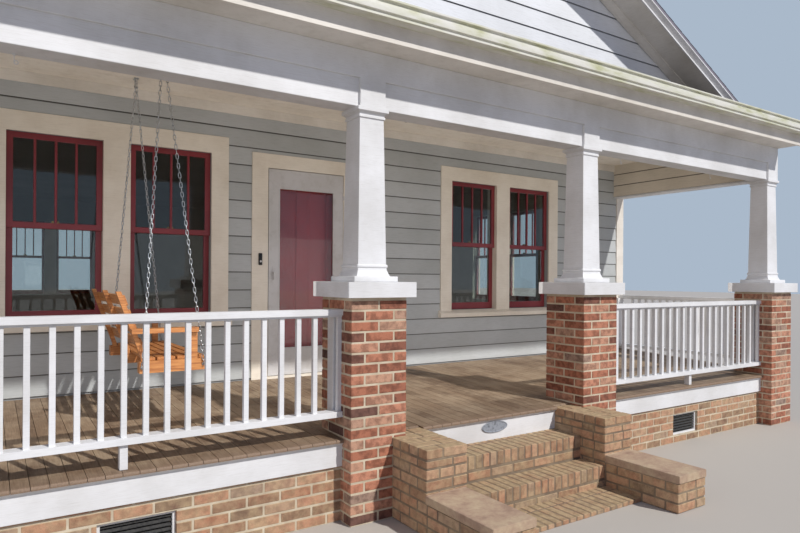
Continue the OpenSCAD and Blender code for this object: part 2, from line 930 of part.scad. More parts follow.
// The frame's half of the hinges on a line at x, y: knuckles round a pin, on a plate towards the frame
module frame_hinges(x, y, plate_y0, plate_y1) {
    for (z = hinge_zs) {
        translate([x, y, z - hinge_high / 2]) cylinder(h = hinge_high, r = hinge_pin, $fn = 20);
        for (s = [-1, 1]) {
            low = z + (s > 0 ? hinge_knuckle / 2 + seat_gap : -hinge_high / 2);
            high = z + (s > 0 ? hinge_high / 2 : -hinge_knuckle / 2 - seat_gap);
            translate([x, y, low]) cylinder(h = high - low, r = hinge_round, $fn = 20);
            span([x, plate_y0, low], [door_right, plate_y1, high]);
        }
    }
}

// The leaf's half of the hinges: one knuckle each, bored for the pin, on a plate on the leaf
module leaf_hinges(x, y, plate_y0, plate_y1) {
    for (z = hinge_zs)
        difference() {
            union() {
                translate([x, y, z - hinge_knuckle / 2])
                    cylinder(h = hinge_knuckle, r = hinge_round, $fn = 20);
                span([x - hinge_leaf, plate_y0, z - hinge_knuckle / 2],
                     [x, plate_y1, z + hinge_knuckle / 2]);
            }
            translate([x, y, z - hinge_knuckle])
                cylinder(h = 2 * hinge_knuckle, r = hinge_pin + seat_gap, $fn = 20);
        }
}

// A frame that reaches so far into the doorway, with its head as high as its sides are wide
module doorway_frame(y0, y1, reach, low) {
    difference() {
        span([door_left, y0, low], [door_right, y1, door_hole_z]);
        span([door_left + reach, y0 - past, low - past],
             [door_right - reach, y1 + past, door_hole_z - reach]);
    }
}

module door_frame() {
    stop = door_lining + 13;
    play = 10;
    color(col_cream) {
        doorway_frame(frame_front_y, inner_front_y, door_lining, threshold_z);
        difference() {
            span([door_left - door_casing_wide, frame_front_y, floor_back_z],
                 [door_right + door_casing_wide, front_wall_y, door_casing_z]);
            span([door_left + fuse, frame_front_y - past, floor_back_z - past],
                 [door_right - fuse, front_wall_y + past, door_hole_z - fuse]);
        }
        doorway_frame(storm_y + storm_thick + play, entry_y - play, stop, threshold_z);
        span([door_left, frame_front_y - threshold_out, floor_back_z],
             [door_right, inner_front_y, threshold_z + fuse]);
        frame_hinges(hinge_x, storm_y - hinge_out, storm_y - hinge_out, frame_front_y);
        frame_hinges(hinge_x, inner_front_y + hinge_out, inner_front_y, inner_front_y + hinge_out);
    }
}

module storm_door() {
    color(col_cream) {
        difference() {
            span([leaf_left, storm_y, leaf_z], [leaf_right, storm_y + storm_thick, leaf_top_z]);
            span([leaf_left + storm_frame, storm_y - past, leaf_z + storm_kick],
                 [leaf_right - storm_frame, storm_y + storm_thick + past, leaf_top_z - storm_head]);
            for (y = [storm_y, storm_y + storm_thick])
                span([leaf_left + storm_frame, y - panel_deep, leaf_z + kick_edge],
                     [leaf_right - storm_frame, y + panel_deep, leaf_z + storm_kick - kick_edge]);
        }
        leaf_hinges(hinge_x, storm_y - hinge_out, storm_y - hinge_plate, storm_y);
    }
}

module storm_door_glass() {
    mid = storm_y + storm_thick / 2;
    color(col_glass)
        span([leaf_left + storm_frame + seat_gap, mid - glass_thick / 2, leaf_z + storm_kick + seat_gap],
             [leaf_right - storm_frame - seat_gap, mid + glass_thick / 2,
              leaf_top_z - storm_head - seat_gap]);
}

// A plate with a grip that stands before it on a round neck
module storm_door_handle() {
    plate = 6;
    neck = 8;
    grip = 12;
    color(col_grey)
        translate([leaf_left + handle_in, storm_y, handle_z]) {
            span([-handle_wide / 2, -plate, -handle_high / 2], [handle_wide / 2, 0, handle_high / 2]);
            rotate([90, 0, 0]) cylinder(h = handle_out - grip / 2, r = neck, $fn = 24);
            span([-handle_wide / 2, -handle_out, -handle_high / 2],
                 [handle_wide / 2, grip - handle_out, neck]);
        }
}

// Two tall panels with a raised field, sunk into the face at y, which looks towards way
module door_panels(y, way) {
    wide = (leaf_right - leaf_left - 3 * door_stile) / 2;
    field = panel_deep - 2;
    for (i = [0, 1])
        translate([leaf_left + door_stile + i * (wide + door_stile), y, leaf_z + door_bottom]) {
            high = leaf_top_z - leaf_z - door_bottom - door_stile;
            difference() {
                span([0, -panel_deep, 0], [wide, panel_deep, high]);
                hull() {
                    span([0, min(-way * past, -way * panel_deep), 0],
                         [wide, max(-way * past, -way * panel_deep), high]);
                    span([panel_edge, min(0, way * (field - panel_deep)), panel_edge],
                         [wide - panel_edge, max(0, way * (field - panel_deep)), high - panel_edge]);
                }
            }
        }
}

module entry_door() {
    color(col_red) {
        difference() {
            span([leaf_left, entry_y, leaf_z], [leaf_right, inner_front_y, leaf_top_z]);
            door_panels(entry_y, -1);
            door_panels(inner_front_y, 1);
        }
        leaf_hinges(hinge_x, inner_front_y + hinge_out, inner_front_y, inner_front_y + hinge_plate);
    }
}

// A turned knob on a round rose, on both faces of the door
module entry_door_knob() {
    rose = 28;
    rose_thick = 6;
    neck = 10;
    color(col_metal)
        for (s = [-1, 1])
            translate([leaf_left + knob_in, entry_y + entry_thick / 2, handle_z])
                rotate([s * 90, 0, 0])
                    translate([0, 0, entry_thick / 2])
                        rotate_extrude($fn = 32)
                            polygon([
                                [0, 0],
                                [rose, 0],
                                [rose, rose_thick / 2],
                                [rose - 2, rose_thick],
                                [neck, rose_thick],
                                [neck, knob_out * 0.45],
                                [knob_round * 0.7, knob_out * 0.5],
                                [knob_round, knob_out * 0.72],
                                [knob_round, knob_out * 0.84],
                                [knob_round * 0.7, knob_out],
                                [0, knob_out]]);
}

module doorbell() {
    color(col_grey)
        translate([door_left - doorbell_in, frame_front_y, floor_back_z + doorbell_up])
            span([-doorbell_wide / 2, -doorbell_deep, -doorbell_high / 2],
                 [doorbell_wide / 2, 0, doorbell_high / 2]);
}

module porch_beam() {
    color(col_white) {
        span([-beam_out, beam_front, beam_z], [beam_out, beam_back, ceiling_z]);
        for (s = [-1, 1])
            beside(s, beam_in, beam_out, beam_back + seat_gap, front_wall_y, beam_z, ceiling_z);
    }
}

module porch_frieze() {
    face = beam_out + frieze_thick;
    corner = block_wide + frieze_thick / 2;
    color(col_white) {
        span([-face, frieze_y, frieze_z], [face, beam_front, soffit_z]);
        for (x = [-inner_column_x, inner_column_x])
            span([x - block_wide / 2, frieze_y, beam_z], [x + block_wide / 2, beam_front, frieze_z + fuse]);
        for (s = [-1, 1]) {
            beside(s, face - corner, face, frieze_y, beam_front, beam_z, frieze_z + fuse);
            beside(s, beam_out, face, beam_front + seat_gap, frame_front_y, frieze_z, soffit_z);
            beside(s, beam_out, face, beam_front + seat_gap, beam_front + block_wide,
                   beam_z, frieze_z + fuse);
        }
    }
}

module porch_ceiling() {
    color(col_cream)
        span([-beam_out, beam_front, ceiling_z], [beam_out, front_wall_y, ceiling_z + ceiling_thick]);
}

module gable_walls() {
    low = ceiling_z + ceiling_thick;
    top = gable_ridge_z - roof_thick - seat_gap;
    foot = top - gable_reach * pitch;
    color(col_sage) {
        for (s = [-1, 1])
            intersection() {
                beside(s, inner_half, house_half, beam_front, front_wall_y, low, ridge_z);
                under_main_roof(0);
            }
        difference() {
            along_y(gable_wall_y, gable_wall_y + gable_wall_thick, [
                [0, top],
                [gable_reach, foot],
                [-gable_reach, foot]]);
            under_main_roof(roof_thick + seat_gap);
        }
    }
}

module eave_boxes() {
    out = roof_half - fascia_thick;
    color(col_white)
        intersection() {
            union() {
                span([-out, eave_y, fascia_z], [out, eave_y + fascia_thick, ridge_z]);
                span([-out, rear_eave_y - fascia_thick, fascia_z], [out, rear_eave_y, ridge_z]);
                span([-out, eave_y + fuse, soffit_z], [out, beam_front, soffit_z + soffit_thick]);
                span([-out, rear_wall_y, soffit_z], [out, rear_eave_y - fuse, soffit_z + soffit_thick]);
            }
            under_main_roof(0);
        }
}

module gutter_run() {
    s = gutter_sheet;
    d = gutter_deep;
    h = gutter_high;
    back = roof_z - gutter_z - s * pitch - seat_gap;
    along_x(-roof_half, roof_half, [
        [0, 0],
        [0, back],
        [-s, back],
        [-s, s],
        [-d * 0.55, s],
        [-d * 0.64, h * 0.22],
        [-d + s, h * 0.62],
        [-d + s, h - s],
        [-d + 4 * s, h - s],
        [-d + 4 * s, h],
        [-d, h],
        [-d, h * 0.6],
        [-d * 0.68, h * 0.16],
        [-d * 0.6, 0]]);
}

module gutters() {
    color(col_cream) {
        translate([0, eave_y, gutter_z]) gutter_run();
        translate([0, rear_eave_y, gutter_z]) rotate([0, 0, 180]) gutter_run();
    }
}

module main_roof() {
    front = eave_y - drip_out;
    rear = rear_eave_y + drip_out;
    low = roof_z - drip_out * pitch;
    color(col_roof) {
        along_x(-roof_half, roof_half, [
            [front, low],
            [ridge_y - seat_gap / 2, ridge_z - seat_gap * pitch / 2],
            [ridge_y - seat_gap / 2, ridge_z + roof_thick - seat_gap * pitch / 2],
            [front, low + roof_thick]]);
        along_x(-roof_half, roof_half, [
            [ridge_y + seat_gap / 2, ridge_z - seat_gap * pitch / 2],
            [rear, low],
            [rear, low + roof_thick],
            [ridge_y + seat_gap / 2, ridge_z + roof_thick - seat_gap * pitch / 2]]);
    }
}

// Both slopes of a layer under the front gable's ridge, cut off by the main roof
module gable_slab(y0, y1, top, bottom) {
    wide = gable_reach;
    near = seat_gap / 2;
    difference() {
        for (s = [-1, 1])
            along_y(y0, y1, [
                [s * near, gable_ridge_z - top - near * pitch],
                [s * wide, gable_ridge_z - top - wide * pitch],
                [s * wide, gable_ridge_z - bottom - wide * pitch],
                [s * near, gable_ridge_z - bottom - near * pitch]]);
        under_main_roof(roof_thick + seat_gap);
    }
}

module front_gable_roof() {
    back = eave_y + (gable_ridge_z - roof_z) / pitch;
    color(col_roof) gable_slab(gable_roof_y, back, 0, roof_thick);
}

module rake_boards() {
    board_thick = 24;
    lining_thick = 14;
    lining_up = 18;
    under = roof_thick + gable_board_high;
    color(col_white) {
        gable_slab(gable_board_y, gable_board_y + board_thick, roof_thick + seat_gap, under);
        gable_slab(gable_board_y + board_thick - fuse, gable_wall_y, under - lining_up,
                   under - lining_up + lining_thick);
        for (s = [-1, 1])
            intersection() {
                difference() {
                    beside(s, house_half, house_half + rake_board_thick, eave_y + fascia_thick,
                           rear_eave_y - fascia_thick, soffit_z + soffit_thick, ridge_z);
                    under_main_roof(-rake_board_high);
                    span([-roof_half, ridge_y - seat_gap / 2, soffit_z],
                         [roof_half, ridge_y + seat_gap / 2, ridge_z + past]);
                }
                under_main_roof(-seat_gap);
            }
    }
}

module ceiling_hooks() {
    hook_post = hook_pin + 2;
    side = hook_ring_wide / 2 + hook_post + 4;
    plate = 6;
    plate_past = 16;
    color(col_metal)
        for (y = [swing_front_hook, swing_rear_hook]) {
            translate([swing_x, y - side, swing_hinge_z])
                rotate([-90, 0, 0]) cylinder(h = 2 * side, r = hook_pin, $fn = 24);
            for (s = [-1, 1])
                translate([swing_x, y + s * side, swing_hinge_z - hook_post])
                    cylinder(h = hook_drop + hook_post - plate / 2, r = hook_post, $fn = 24);
            span([swing_x - plate_past, y - side - plate_past, ceiling_z - plate],
                 [swing_x + plate_past, y + side + plate_past, ceiling_z]);
        }
}

// A straight round bar between two points
module bar(a, b, r) {
    d = b - a;
    l = norm(d);
    translate(a)
        rotate([0, acos(d[2] / l), atan2(d[1], d[0])])
            cylinder(h = l, r = r, $fn = 10);
}

// The four chains as bars of a radius, from the hooks' rings through the arms to the bearers' ends
module chain_bars(r) {
    for (e = swing_ends)
        for (s = [-1, 1])
            bar([swing_x + s * chain_thick / 3, e[2], swing_hinge_z - hook_pin - chain_thick / 2],
                chain_foot(e, s), r);
}

// Where the chain on side s of the end e is fixed, before the bearer's outer face
function chain_foot(e, s) =
    [swing_mid + (s > 0 ? swing_half - front_chain_in : rear_chain_in - swing_half), e[0] - e[1] * chain_off,
     swing_bearer_z - swing_bearer / 2];

module swing_chains() {
    stud = 8;
    color(col_metal)
        difference() {
            union() {
                chain_bars(chain_thick / 2);
                for (e = swing_ends) {
                    translate([swing_x, e[2] - hook_ring_wide / 2, swing_hinge_z])
                        rotate([-90, 0, 0])
                            cylinder(h = hook_ring_wide, r = hook_pin + 9, $fn = 24);
                    for (s = [-1, 1])
                        translate(chain_foot(e, s))
                            rotate([-90 * e[1], 0, 0])
                                translate([0, 0, -stud]) cylinder(h = chain_off + stud, r = stud, $fn = 24);
                }
            }
            translate([swing_x, swing_front_hook - past, swing_hinge_z])
                rotate([-90, 0, 0])
                    cylinder(h = swing_rear_hook - swing_front_hook + 2 * past,
                             r = hook_pin + seat_gap, $fn = 24);
        }
}

// The outline of a support of the back, from the bearer up along the lean
module back_post(y0, y1) {
    along_y(y0, y1, [
        [back_x, swing_bearer_z - swing_bearer],
        [back_x, swing_seat_z],
        [back_x - swing_lean, swing_back_z],
        [back_x - swing_lean - back_post_thick, swing_back_z],
        [back_x - back_post_thick, swing_seat_z],
        [back_x - back_post_thick, swing_bearer_z - swing_bearer]]);
}

module swing_frame() {
    arm_low = swing_arm_z - swing_arm_thick;
    arm_lean = swing_lean * (swing_arm_z - swing_seat_z) / (swing_back_z - swing_seat_z);
    arm_back = back_x - back_post_thick - arm_lean;
    arm_front = swing_mid + swing_half - arm_post_in;
    low = swing_bearer_z - swing_bearer;
    color(col_wood) {
        difference() {
            for (e = swing_ends) {
                y0 = min(e[0], e[0] + e[1] * swing_side);
                post0 = min(e[0], e[0] + e[1] * swing_post);
                back0 = y0 + swing_side / 2 + (e[1] > 0 ? 0 : -swing_post);
                arm0 = e[0] + e[1] * (swing_arm / 2 - arm_over) - swing_arm / 2;
                span([swing_mid - swing_half, y0, low],
                     [swing_mid + swing_half, y0 + swing_side, swing_bearer_z]);
                span([arm_front - arm_post_wide, post0, swing_bearer_z - fuse],
                     [arm_front, post0 + swing_post, arm_low + fuse]);
                back_post(back0, back0 + swing_post);
                span([arm_back, arm0, arm_low], [arm_front, arm0 + swing_arm, swing_arm_z]);
            }
            chain_bars(chain_thick / 2 + 3);
        }
        middle = (swing_front_y + swing_rear_y) / 2;
        span([swing_mid - swing_half, middle - swing_post / 2, low],
             [swing_mid + swing_half, middle + swing_post / 2, swing_bearer_z]);
        back_post(middle - swing_post / 2, middle + swing_post / 2);
    }
}

module swing_seat() {
    x0 = back_x + slat_gap / 2;
    x1 = swing_mid + swing_half + slat_over;
    wide = (x1 - x0 - (seat_slats - 1) * slat_gap) / seat_slats;
    color(col_wood)
        for (i = [0 : seat_slats - 1])
            span([x0 + i * (wide + slat_gap), swing_front_y + swing_post + fuse, swing_bearer_z],
                 [x0 + i * (wide + slat_gap) + wide, swing_rear_y - swing_post - fuse, swing_seat_z]);
}

module swing_back() {
    rise = swing_back_z - swing_seat_z;
    lean = atan2(swing_lean, rise);
    first = 60;
    step = (norm([rise, swing_lean]) - first) / back_slats;
    end_in = swing_arm - arm_over + 2;
    color(col_wood)
        translate([back_x, 0, swing_seat_z])
            rotate([0, -lean, 0])
                for (i = [0 : back_slats - 1])
                    span([seat_gap, swing_front_y + end_in, first + i * step],
                         [seat_gap + back_slat_thick, swing_rear_y - end_in, first + i * step + back_slat]);
}

// Build switch, with the list of sub-parts

house_foundation();
porch_foundation();
vent_grilles();
brick_piers();
pier_caps();
porch_columns();
brick_steps();
step_cheeks();
oval_plaque();
porch_floor();
porch_apron();
porch_railings();
front_wall_left();
front_wall_right();
front_wall_over_door();
left_wall();
right_wall();
rear_wall();
house_floor();
house_ceiling();
wall_trim();
window_casings();
window_sashes();
window_glass();
door_frame();
storm_door();
storm_door_glass();
storm_door_handle();
entry_door();
entry_door_knob();
doorbell();
porch_beam();
porch_frieze();
porch_ceiling();
gable_walls();
eave_boxes();
gutters();
main_roof();
front_gable_roof();
rake_boards();
ceiling_hooks();
swing_chains();
swing_frame();
swing_seat();
swing_back();
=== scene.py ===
"""Looks of a wooden bungalow: bricks, lap boards, shingles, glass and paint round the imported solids."""

import functools
import math
import random

import bmesh
import bpy
import numpy as np
from mathutils import Matrix, Vector


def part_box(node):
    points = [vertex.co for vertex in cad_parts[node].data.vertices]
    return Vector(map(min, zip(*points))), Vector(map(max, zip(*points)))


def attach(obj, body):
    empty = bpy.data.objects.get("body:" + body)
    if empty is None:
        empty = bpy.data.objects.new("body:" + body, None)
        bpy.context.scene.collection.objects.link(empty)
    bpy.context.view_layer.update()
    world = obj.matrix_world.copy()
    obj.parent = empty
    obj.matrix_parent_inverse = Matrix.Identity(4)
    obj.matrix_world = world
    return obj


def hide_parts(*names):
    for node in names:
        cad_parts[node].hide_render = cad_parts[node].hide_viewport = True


bl_info = {
    "name": "Bungalow finish",
    "version": (1, 0, 0),
    "blender": (4, 5, 0),
    "location": "View3D > Sidebar > Bungalow",
    "description": "Bricks, boards, shingles, windows and doors of a wooden bungalow with a porch",
    "category": "Object",
}

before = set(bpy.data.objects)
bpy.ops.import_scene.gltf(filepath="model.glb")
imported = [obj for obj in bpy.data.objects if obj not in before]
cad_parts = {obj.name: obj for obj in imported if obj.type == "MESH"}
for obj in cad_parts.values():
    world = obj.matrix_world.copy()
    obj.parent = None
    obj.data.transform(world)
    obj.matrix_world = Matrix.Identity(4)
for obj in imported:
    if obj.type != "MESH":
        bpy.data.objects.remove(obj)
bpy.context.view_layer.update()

# Planes and edges of the solids that more than one operator needs, in metres
HOUSE_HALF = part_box("right_wall")[1].x
FRONT_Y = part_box("front_wall_left")[0].y
REAR_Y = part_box("rear_wall")[1].y
SILL_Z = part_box("front_wall_left")[0].z
CEILING_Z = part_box("porch_ceiling")[0].z
BEAM_LOW, BEAM_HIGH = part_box("porch_beam")
FLOOR_LOW, FLOOR_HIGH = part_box("porch_floor")
FLOOR_THICK = 0.02
PORCH_BASE_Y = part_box("porch_foundation")[0].y

# Piers, and the bays of the porch between them
PIER_SIDE = 0.406
PIER_HALF = PIER_SIDE / 2
PIER_LOW, PIER_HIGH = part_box("brick_piers")
INNER_X = 1.07
OUTER_X = PIER_HIGH.x - PIER_HALF
PIER_PLACES = (-OUTER_X, -INNER_X, INNER_X, OUTER_X)
PIER_MIDDLE_Y = (PIER_LOW.y + PIER_HIGH.y) / 2
BAY_WIDE = OUTER_X - INNER_X - PIER_SIDE

# How far brickwork stands off the ground, and how far under a cap or coat it ends
GROUND_GAP = 0.005
CAP_GAP = 0.004
# The thinnest course and the shortest brick that are laid
THIN_COURSE = 0.012
SHORT_BRICK = 0.015
STEP_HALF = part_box("brick_steps")[1].x
STEP_RISE = 0.175
UPPER_STEP_Y = -5.41
LOWER_STEP_Y = -5.64
GROUND_STEP_Y = -5.95
CHEEK_CAP_Z = 0.2
CHEEK_WIDE = 0.305
VENT_X = 2.49
VENT_WIDE = 0.4
VENT_HIGH = 0.2

# Roofs
PITCH = 0.5
SLOPE = math.atan(PITCH)
ROOF_LOW, ROOF_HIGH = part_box("main_roof")
GABLE_LOW, GABLE_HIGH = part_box("front_gable_roof")
RIDGE_Y = (ROOF_LOW.y + ROOF_HIGH.y) / 2
ROOF_THICK = 0.06
DECK_THICK = 0.042
GABLE_HALF = 4.2
GABLE_WALL_Y = -4.86

# Windows: middle of each pair of sashes along its wall, and the sizes that all pairs share
SASH_WIDE = 0.665
POST_WIDE = 0.205
PAIR_WIDE = 2 * SASH_WIDE + POST_WIDE
WINDOW_Z = 1.21
WINDOW_HIGH = 1.445
SASH_FRAME = 0.046
SASH_FOOT = 0.075
MEETING_TOP = WINDOW_Z + (WINDOW_HIGH + SASH_FOOT) / 2
FRONT_WINDOWS = (-2.285, 1.932)
REAR_WINDOWS = (-2.1, 2.1)
SIDE_WINDOWS = (-0.85, 3.6)

# Height of the lowest lap board on the porch, and of each board to the weather
FIRST_LAP_Z = 0.633
LAP = 0.1625
GABLE_LAP_Z = FIRST_LAP_Z + 17 * LAP - 0.04
BEAM_LAP = 0.15
BEAM_LAP_Z = BEAM_LOW.z + 0.02
# How far a lap board runs behind the next, behind a casing and behind a corner board
UNDERLAP = 0.014
CASING_COVER = 0.08
CORNER_COVER = 0.135

# Doorway
DOOR_X = -0.599
DOOR_HALF = 0.419
DOOR_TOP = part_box("door_frame")[1].z

# The swing's hooks and the ends of its chains
SWING_X = -2.2
HINGE_Z = 3.049
HOOKS_Y = (-4.33, -3.42)
CHAIN_FEET_Y = (-4.484, -3.266)
CHAIN_FEET_X = (-2.346, -1.961)
CHAIN_FOOT_Z = 0.9775


def linear(colour):
    """An sRGB hex colour such as b3634b as linear red, green, blue and alpha."""
    parts = [int(colour[i:i + 2], 16) / 255 for i in (0, 2, 4)]
    return [c / 12.92 if c <= 0.04045 else ((c + 0.055) / 1.055) ** 2.4 for c in parts] + [1.0]


# Modelling helpers

def alone(piece):
    """Selects one piece, and nothing else."""
    bpy.ops.object.select_all(action="DESELECT")
    if piece:
        piece.select_set(True)
        bpy.context.view_layer.objects.active = piece


def settle(name):
    """Names the primitive that was just added and puts its place into its mesh."""
    piece = bpy.context.object
    piece.name = piece.data.name = name
    alone(piece)
    bpy.ops.object.transform_apply(location=True, rotation=True, scale=True)
    return piece


def block(name, low, high):
    """A box between two corners, as the start of a piece."""
    alone(None)
    middle = [(a + b) / 2 for a, b in zip(low, high)]
    size = [b - a for a, b in zip(low, high)]
    bpy.ops.mesh.primitive_cube_add(size=1, location=middle, scale=size)
    return settle(name)


def disc(name, middle, radius, depth, facing, corners=32):
    """A round bar along the direction that it faces, as the start of a piece."""
    alone(None)
    turn = Vector(facing).to_track_quat("Z", "Y").to_euler()
    bpy.ops.mesh.primitive_cylinder_add(
        vertices=corners, radius=radius, depth=depth, location=middle, rotation=turn)
    return settle(name)


def ring(name, middle, radius, thick, facing, segments=24, sides=8):
    """A round ring whose axis is the direction that it faces, as the start of a piece."""
    alone(None)
    turn = Vector(facing).to_track_quat("Z", "Y").to_euler()
    bpy.ops.mesh.primitive_torus_add(
        major_radius=radius, minor_radius=thick / 2, major_segments=segments,
        minor_segments=sides, location=middle, rotation=turn)
    return settle(name)


def pick(piece, want=None, kind="FACE"):
    """Opens a piece in edit mode with those parts selected for which want(middle, direction) is true,
    or with all of them."""
    alone(piece)
    bpy.ops.object.mode_set(mode="EDIT")
    bpy.ops.mesh.select_mode(type=kind)
    bpy.ops.mesh.select_all(action="DESELECT")
    mesh = bmesh.from_edit_mesh(piece.data)
    for part in {"FACE": mesh.faces, "EDGE": mesh.edges, "VERT": mesh.verts}[kind]:
        if kind == "FACE":
            middle, way = part.calc_center_median(), part.normal
        elif kind == "EDGE":
            a, b = (v.co for v in part.verts)
            middle, way = (a + b) / 2, (b - a).normalized()
        else:
            middle, way = part.co, part.normal
        part.select_set(want is None or want(middle, way))
    bmesh.update_edit_mesh(piece.data)


def done(piece):
    """Leaves edit mode."""
    bpy.ops.object.mode_set(mode="OBJECT")
    return piece


def shape(piece, operator, want=None, kind="FACE", **settings):
    """Runs one operator in edit mode on the parts that are wanted."""
    pick(piece, want, kind)
    operator(**settings)
    return done(piece)


def move(piece, way, want, kind="EDGE"):
    """Moves the parts that are wanted."""
    return shape(piece, bpy.ops.transform.translate, want, kind, value=way)


def extrude(way):
    """Draws out what is selected in edit mode."""
    bpy.ops.mesh.extrude_region_move(TRANSFORM_OT_translate={"value": way})


def step_face(piece, facing, border, way):
    """Leaves a border on the face that looks in a direction, and moves what is inside it."""
    pick(piece, lambda _, normal: normal.dot(Vector(facing)) > 0.9)
    bpy.ops.mesh.inset(thickness=border)
    extrude(way)
    return done(piece)


def face_outwards(piece):
    """Points all faces of a piece outwards."""
    return shape(piece, bpy.ops.mesh.normals_make_consistent, inside=False)


def modify(piece, kind, **settings):
    """Adds a modifier to a piece and applies it."""
    alone(piece)
    modifier = piece.modifiers.new(kind, kind)
    for key, value in settings.items():
        setattr(modifier, key, value)
    bpy.ops.object.modifier_apply(modifier=modifier.name)
    return piece


def soften(piece, width, segments=1):
    """Takes off the sharp edges of a piece."""
    return modify(piece, "BEVEL", width=width, segments=segments, limit_method="ANGLE")


def smooth(piece, degrees=35):
    """Shades a piece smooth up to an angle between faces."""
    alone(piece)
    bpy.ops.object.shade_smooth_by_angle(angle=math.radians(degrees))
    return piece


def lay(name, unit, places, seed):
    """One mesh of copies of a unit, one for each matrix, each marked with a tone of its own."""
    corners = np.array([list(v.co) + [1.0] for v in unit.data.vertices])
    faces = [list(p.vertices) for p in unit.data.polygons]
    rounded = [p.use_smooth for p in unit.data.polygons]
    chance = random.Random(seed)
    points = np.concatenate([(corners @ np.array(place).T)[:, :3] for place in places])
    count = len(corners)
    rows = [[i * count + v for v in face] for i in range(len(places)) for face in faces]
    mesh = bpy.data.meshes.new(name)
    mesh.from_pydata(points.tolist(), [], rows)
    mesh.polygons.foreach_set("use_smooth", rounded * len(places))
    tones = np.repeat([chance.random() for _ in places], count).astype(np.float32)
    mesh.attributes.new("tone", "FLOAT", "POINT").data.foreach_set("value", tones)
    mesh.update()
    piece = bpy.data.objects.new(name, mesh)
    bpy.context.scene.collection.objects.link(piece)
    bpy.data.objects.remove(unit)
    return piece


def join(name, pieces):
    """Makes one piece of several."""
    alone(pieces[0])
    for piece in pieces[1:]:
        piece.select_set(True)
    bpy.ops.object.join()
    pieces[0].name = pieces[0].data.name = name
    return pieces[0]


def bisect(piece, point, normal, fill=True):
    """Cuts a piece at a plane and drops what lies on the side that the normal points to."""
    return shape(piece, bpy.ops.mesh.bisect, plane_co=point, plane_no=normal, use_fill=fill,
                 clear_outer=True, threshold=1e-5)


def dress(piece, material, body="house", stands_for=()):
    """Gives a finished piece its material and the body that it moves with, and hides the solids that it
    stands for.
    """
    piece.data.materials.clear()
    piece.data.materials.append(finish_of(material))
    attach(piece, body)
    if stands_for:
        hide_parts(*stands_for)
    return piece


def at(x, y, z, turn=0.0, size=(1, 1, 1)):
    """A matrix that sizes a unit, turns it about Z by an angle in degrees and moves it."""
    return (Matrix.Translation((x, y, z)) @ Matrix.Rotation(math.radians(turn), 4, "Z")
            @ Matrix.Diagonal((*size, 1)))


# Materials

# Inputs of a Mix node that mixes colours, and its settings
FACTOR, FIRST, SECOND = 0, 6, 7
MIX = {"data_type": "RGBA"}
MULTIPLY = {"data_type": "RGBA", "blend_type": "MULTIPLY"}


def wire(node, sockets):
    """Sets a node's inputs: another node or one of its sockets is linked, anything else is a value."""
    for key, value in sockets.items():
        if isinstance(value, bpy.types.Node):
            value = next(socket for socket in value.outputs if socket.enabled)
        if isinstance(value, bpy.types.NodeSocket):
            node.id_data.links.new(value, node.inputs[key])
        else:
            node.inputs[key].default_value = value
    return node


def add(tree, kind, sockets=None, stops=None, **settings):
    """Adds a node with its settings, its inputs and the stops of its ramp."""
    made = tree.nodes.new("ShaderNode" + kind)
    for key, value in settings.items():
        setattr(made, key, value)
    for i, (place, colour) in enumerate(stops or []):
        stop = made.color_ramp.elements[i] if i < 2 else made.color_ramp.elements.new(place)
        stop.position = place
        stop.color = linear(colour)
    return wire(made, sockets or {})


def blank(**sockets):
    """A new material with its tree, its Principled shader and its Object coordinates."""
    material = bpy.data.materials.new("surface")
    material.use_nodes = True
    tree = material.node_tree
    shader = wire(tree.nodes["Principled BSDF"], {key.replace("_", " "): v for key, v in sockets.items()})
    return material, tree, shader, add(tree, "TexCoord").outputs["Object"]


def own_tone(tree, stops):
    """A colour that each brick, board or shingle takes from the stops by the tone that lay gave it."""
    tone = add(tree, "Attribute", attribute_name="tone").outputs["Fac"]
    return add(tree, "ValToRGB", {"Fac": tone}, stops)


def upward(tree):
    """How far a surface looks up: 1 on top, 0 on a wall and -1 underneath."""
    normal = add(tree, "NewGeometry").outputs["True Normal"]
    return add(tree, "SeparateXYZ", {"Vector": normal}).outputs["Z"]


def drawn_noise(tree, place, run, scale, detail, fine=0.5):
    """Noise drawn out along a board or sheet, by a scale for each axis."""
    spread = add(tree, "Mapping", {"Vector": place, "Scale": run})
    return add(tree, "TexNoise", {"Vector": spread, "Scale": scale, "Detail": detail, "Roughness": fine})


def mottled(scale, detail, stops, relief=None, run=None, fine=0.5, **sockets):
    """A surface that one noise shades through the stops. Relief is the strength and depth of its dents,
    run draws the noise out along an axis, and fine is the strength of its smallest marks."""
    material, tree, shader, place = blank(**sockets)
    if run:
        place = add(tree, "Mapping", {"Vector": place, "Scale": run})
    pattern = add(tree, "TexNoise", {"Vector": place, "Scale": scale, "Detail": detail, "Roughness": fine})
    wire(shader, {"Base Color": add(tree, "ValToRGB", {"Fac": pattern}, stops)})
    if relief:
        wire(shader, {"Normal": add(tree, "Bump", {
            "Height": pattern, "Strength": relief[0], "Distance": relief[1]})})
    return material


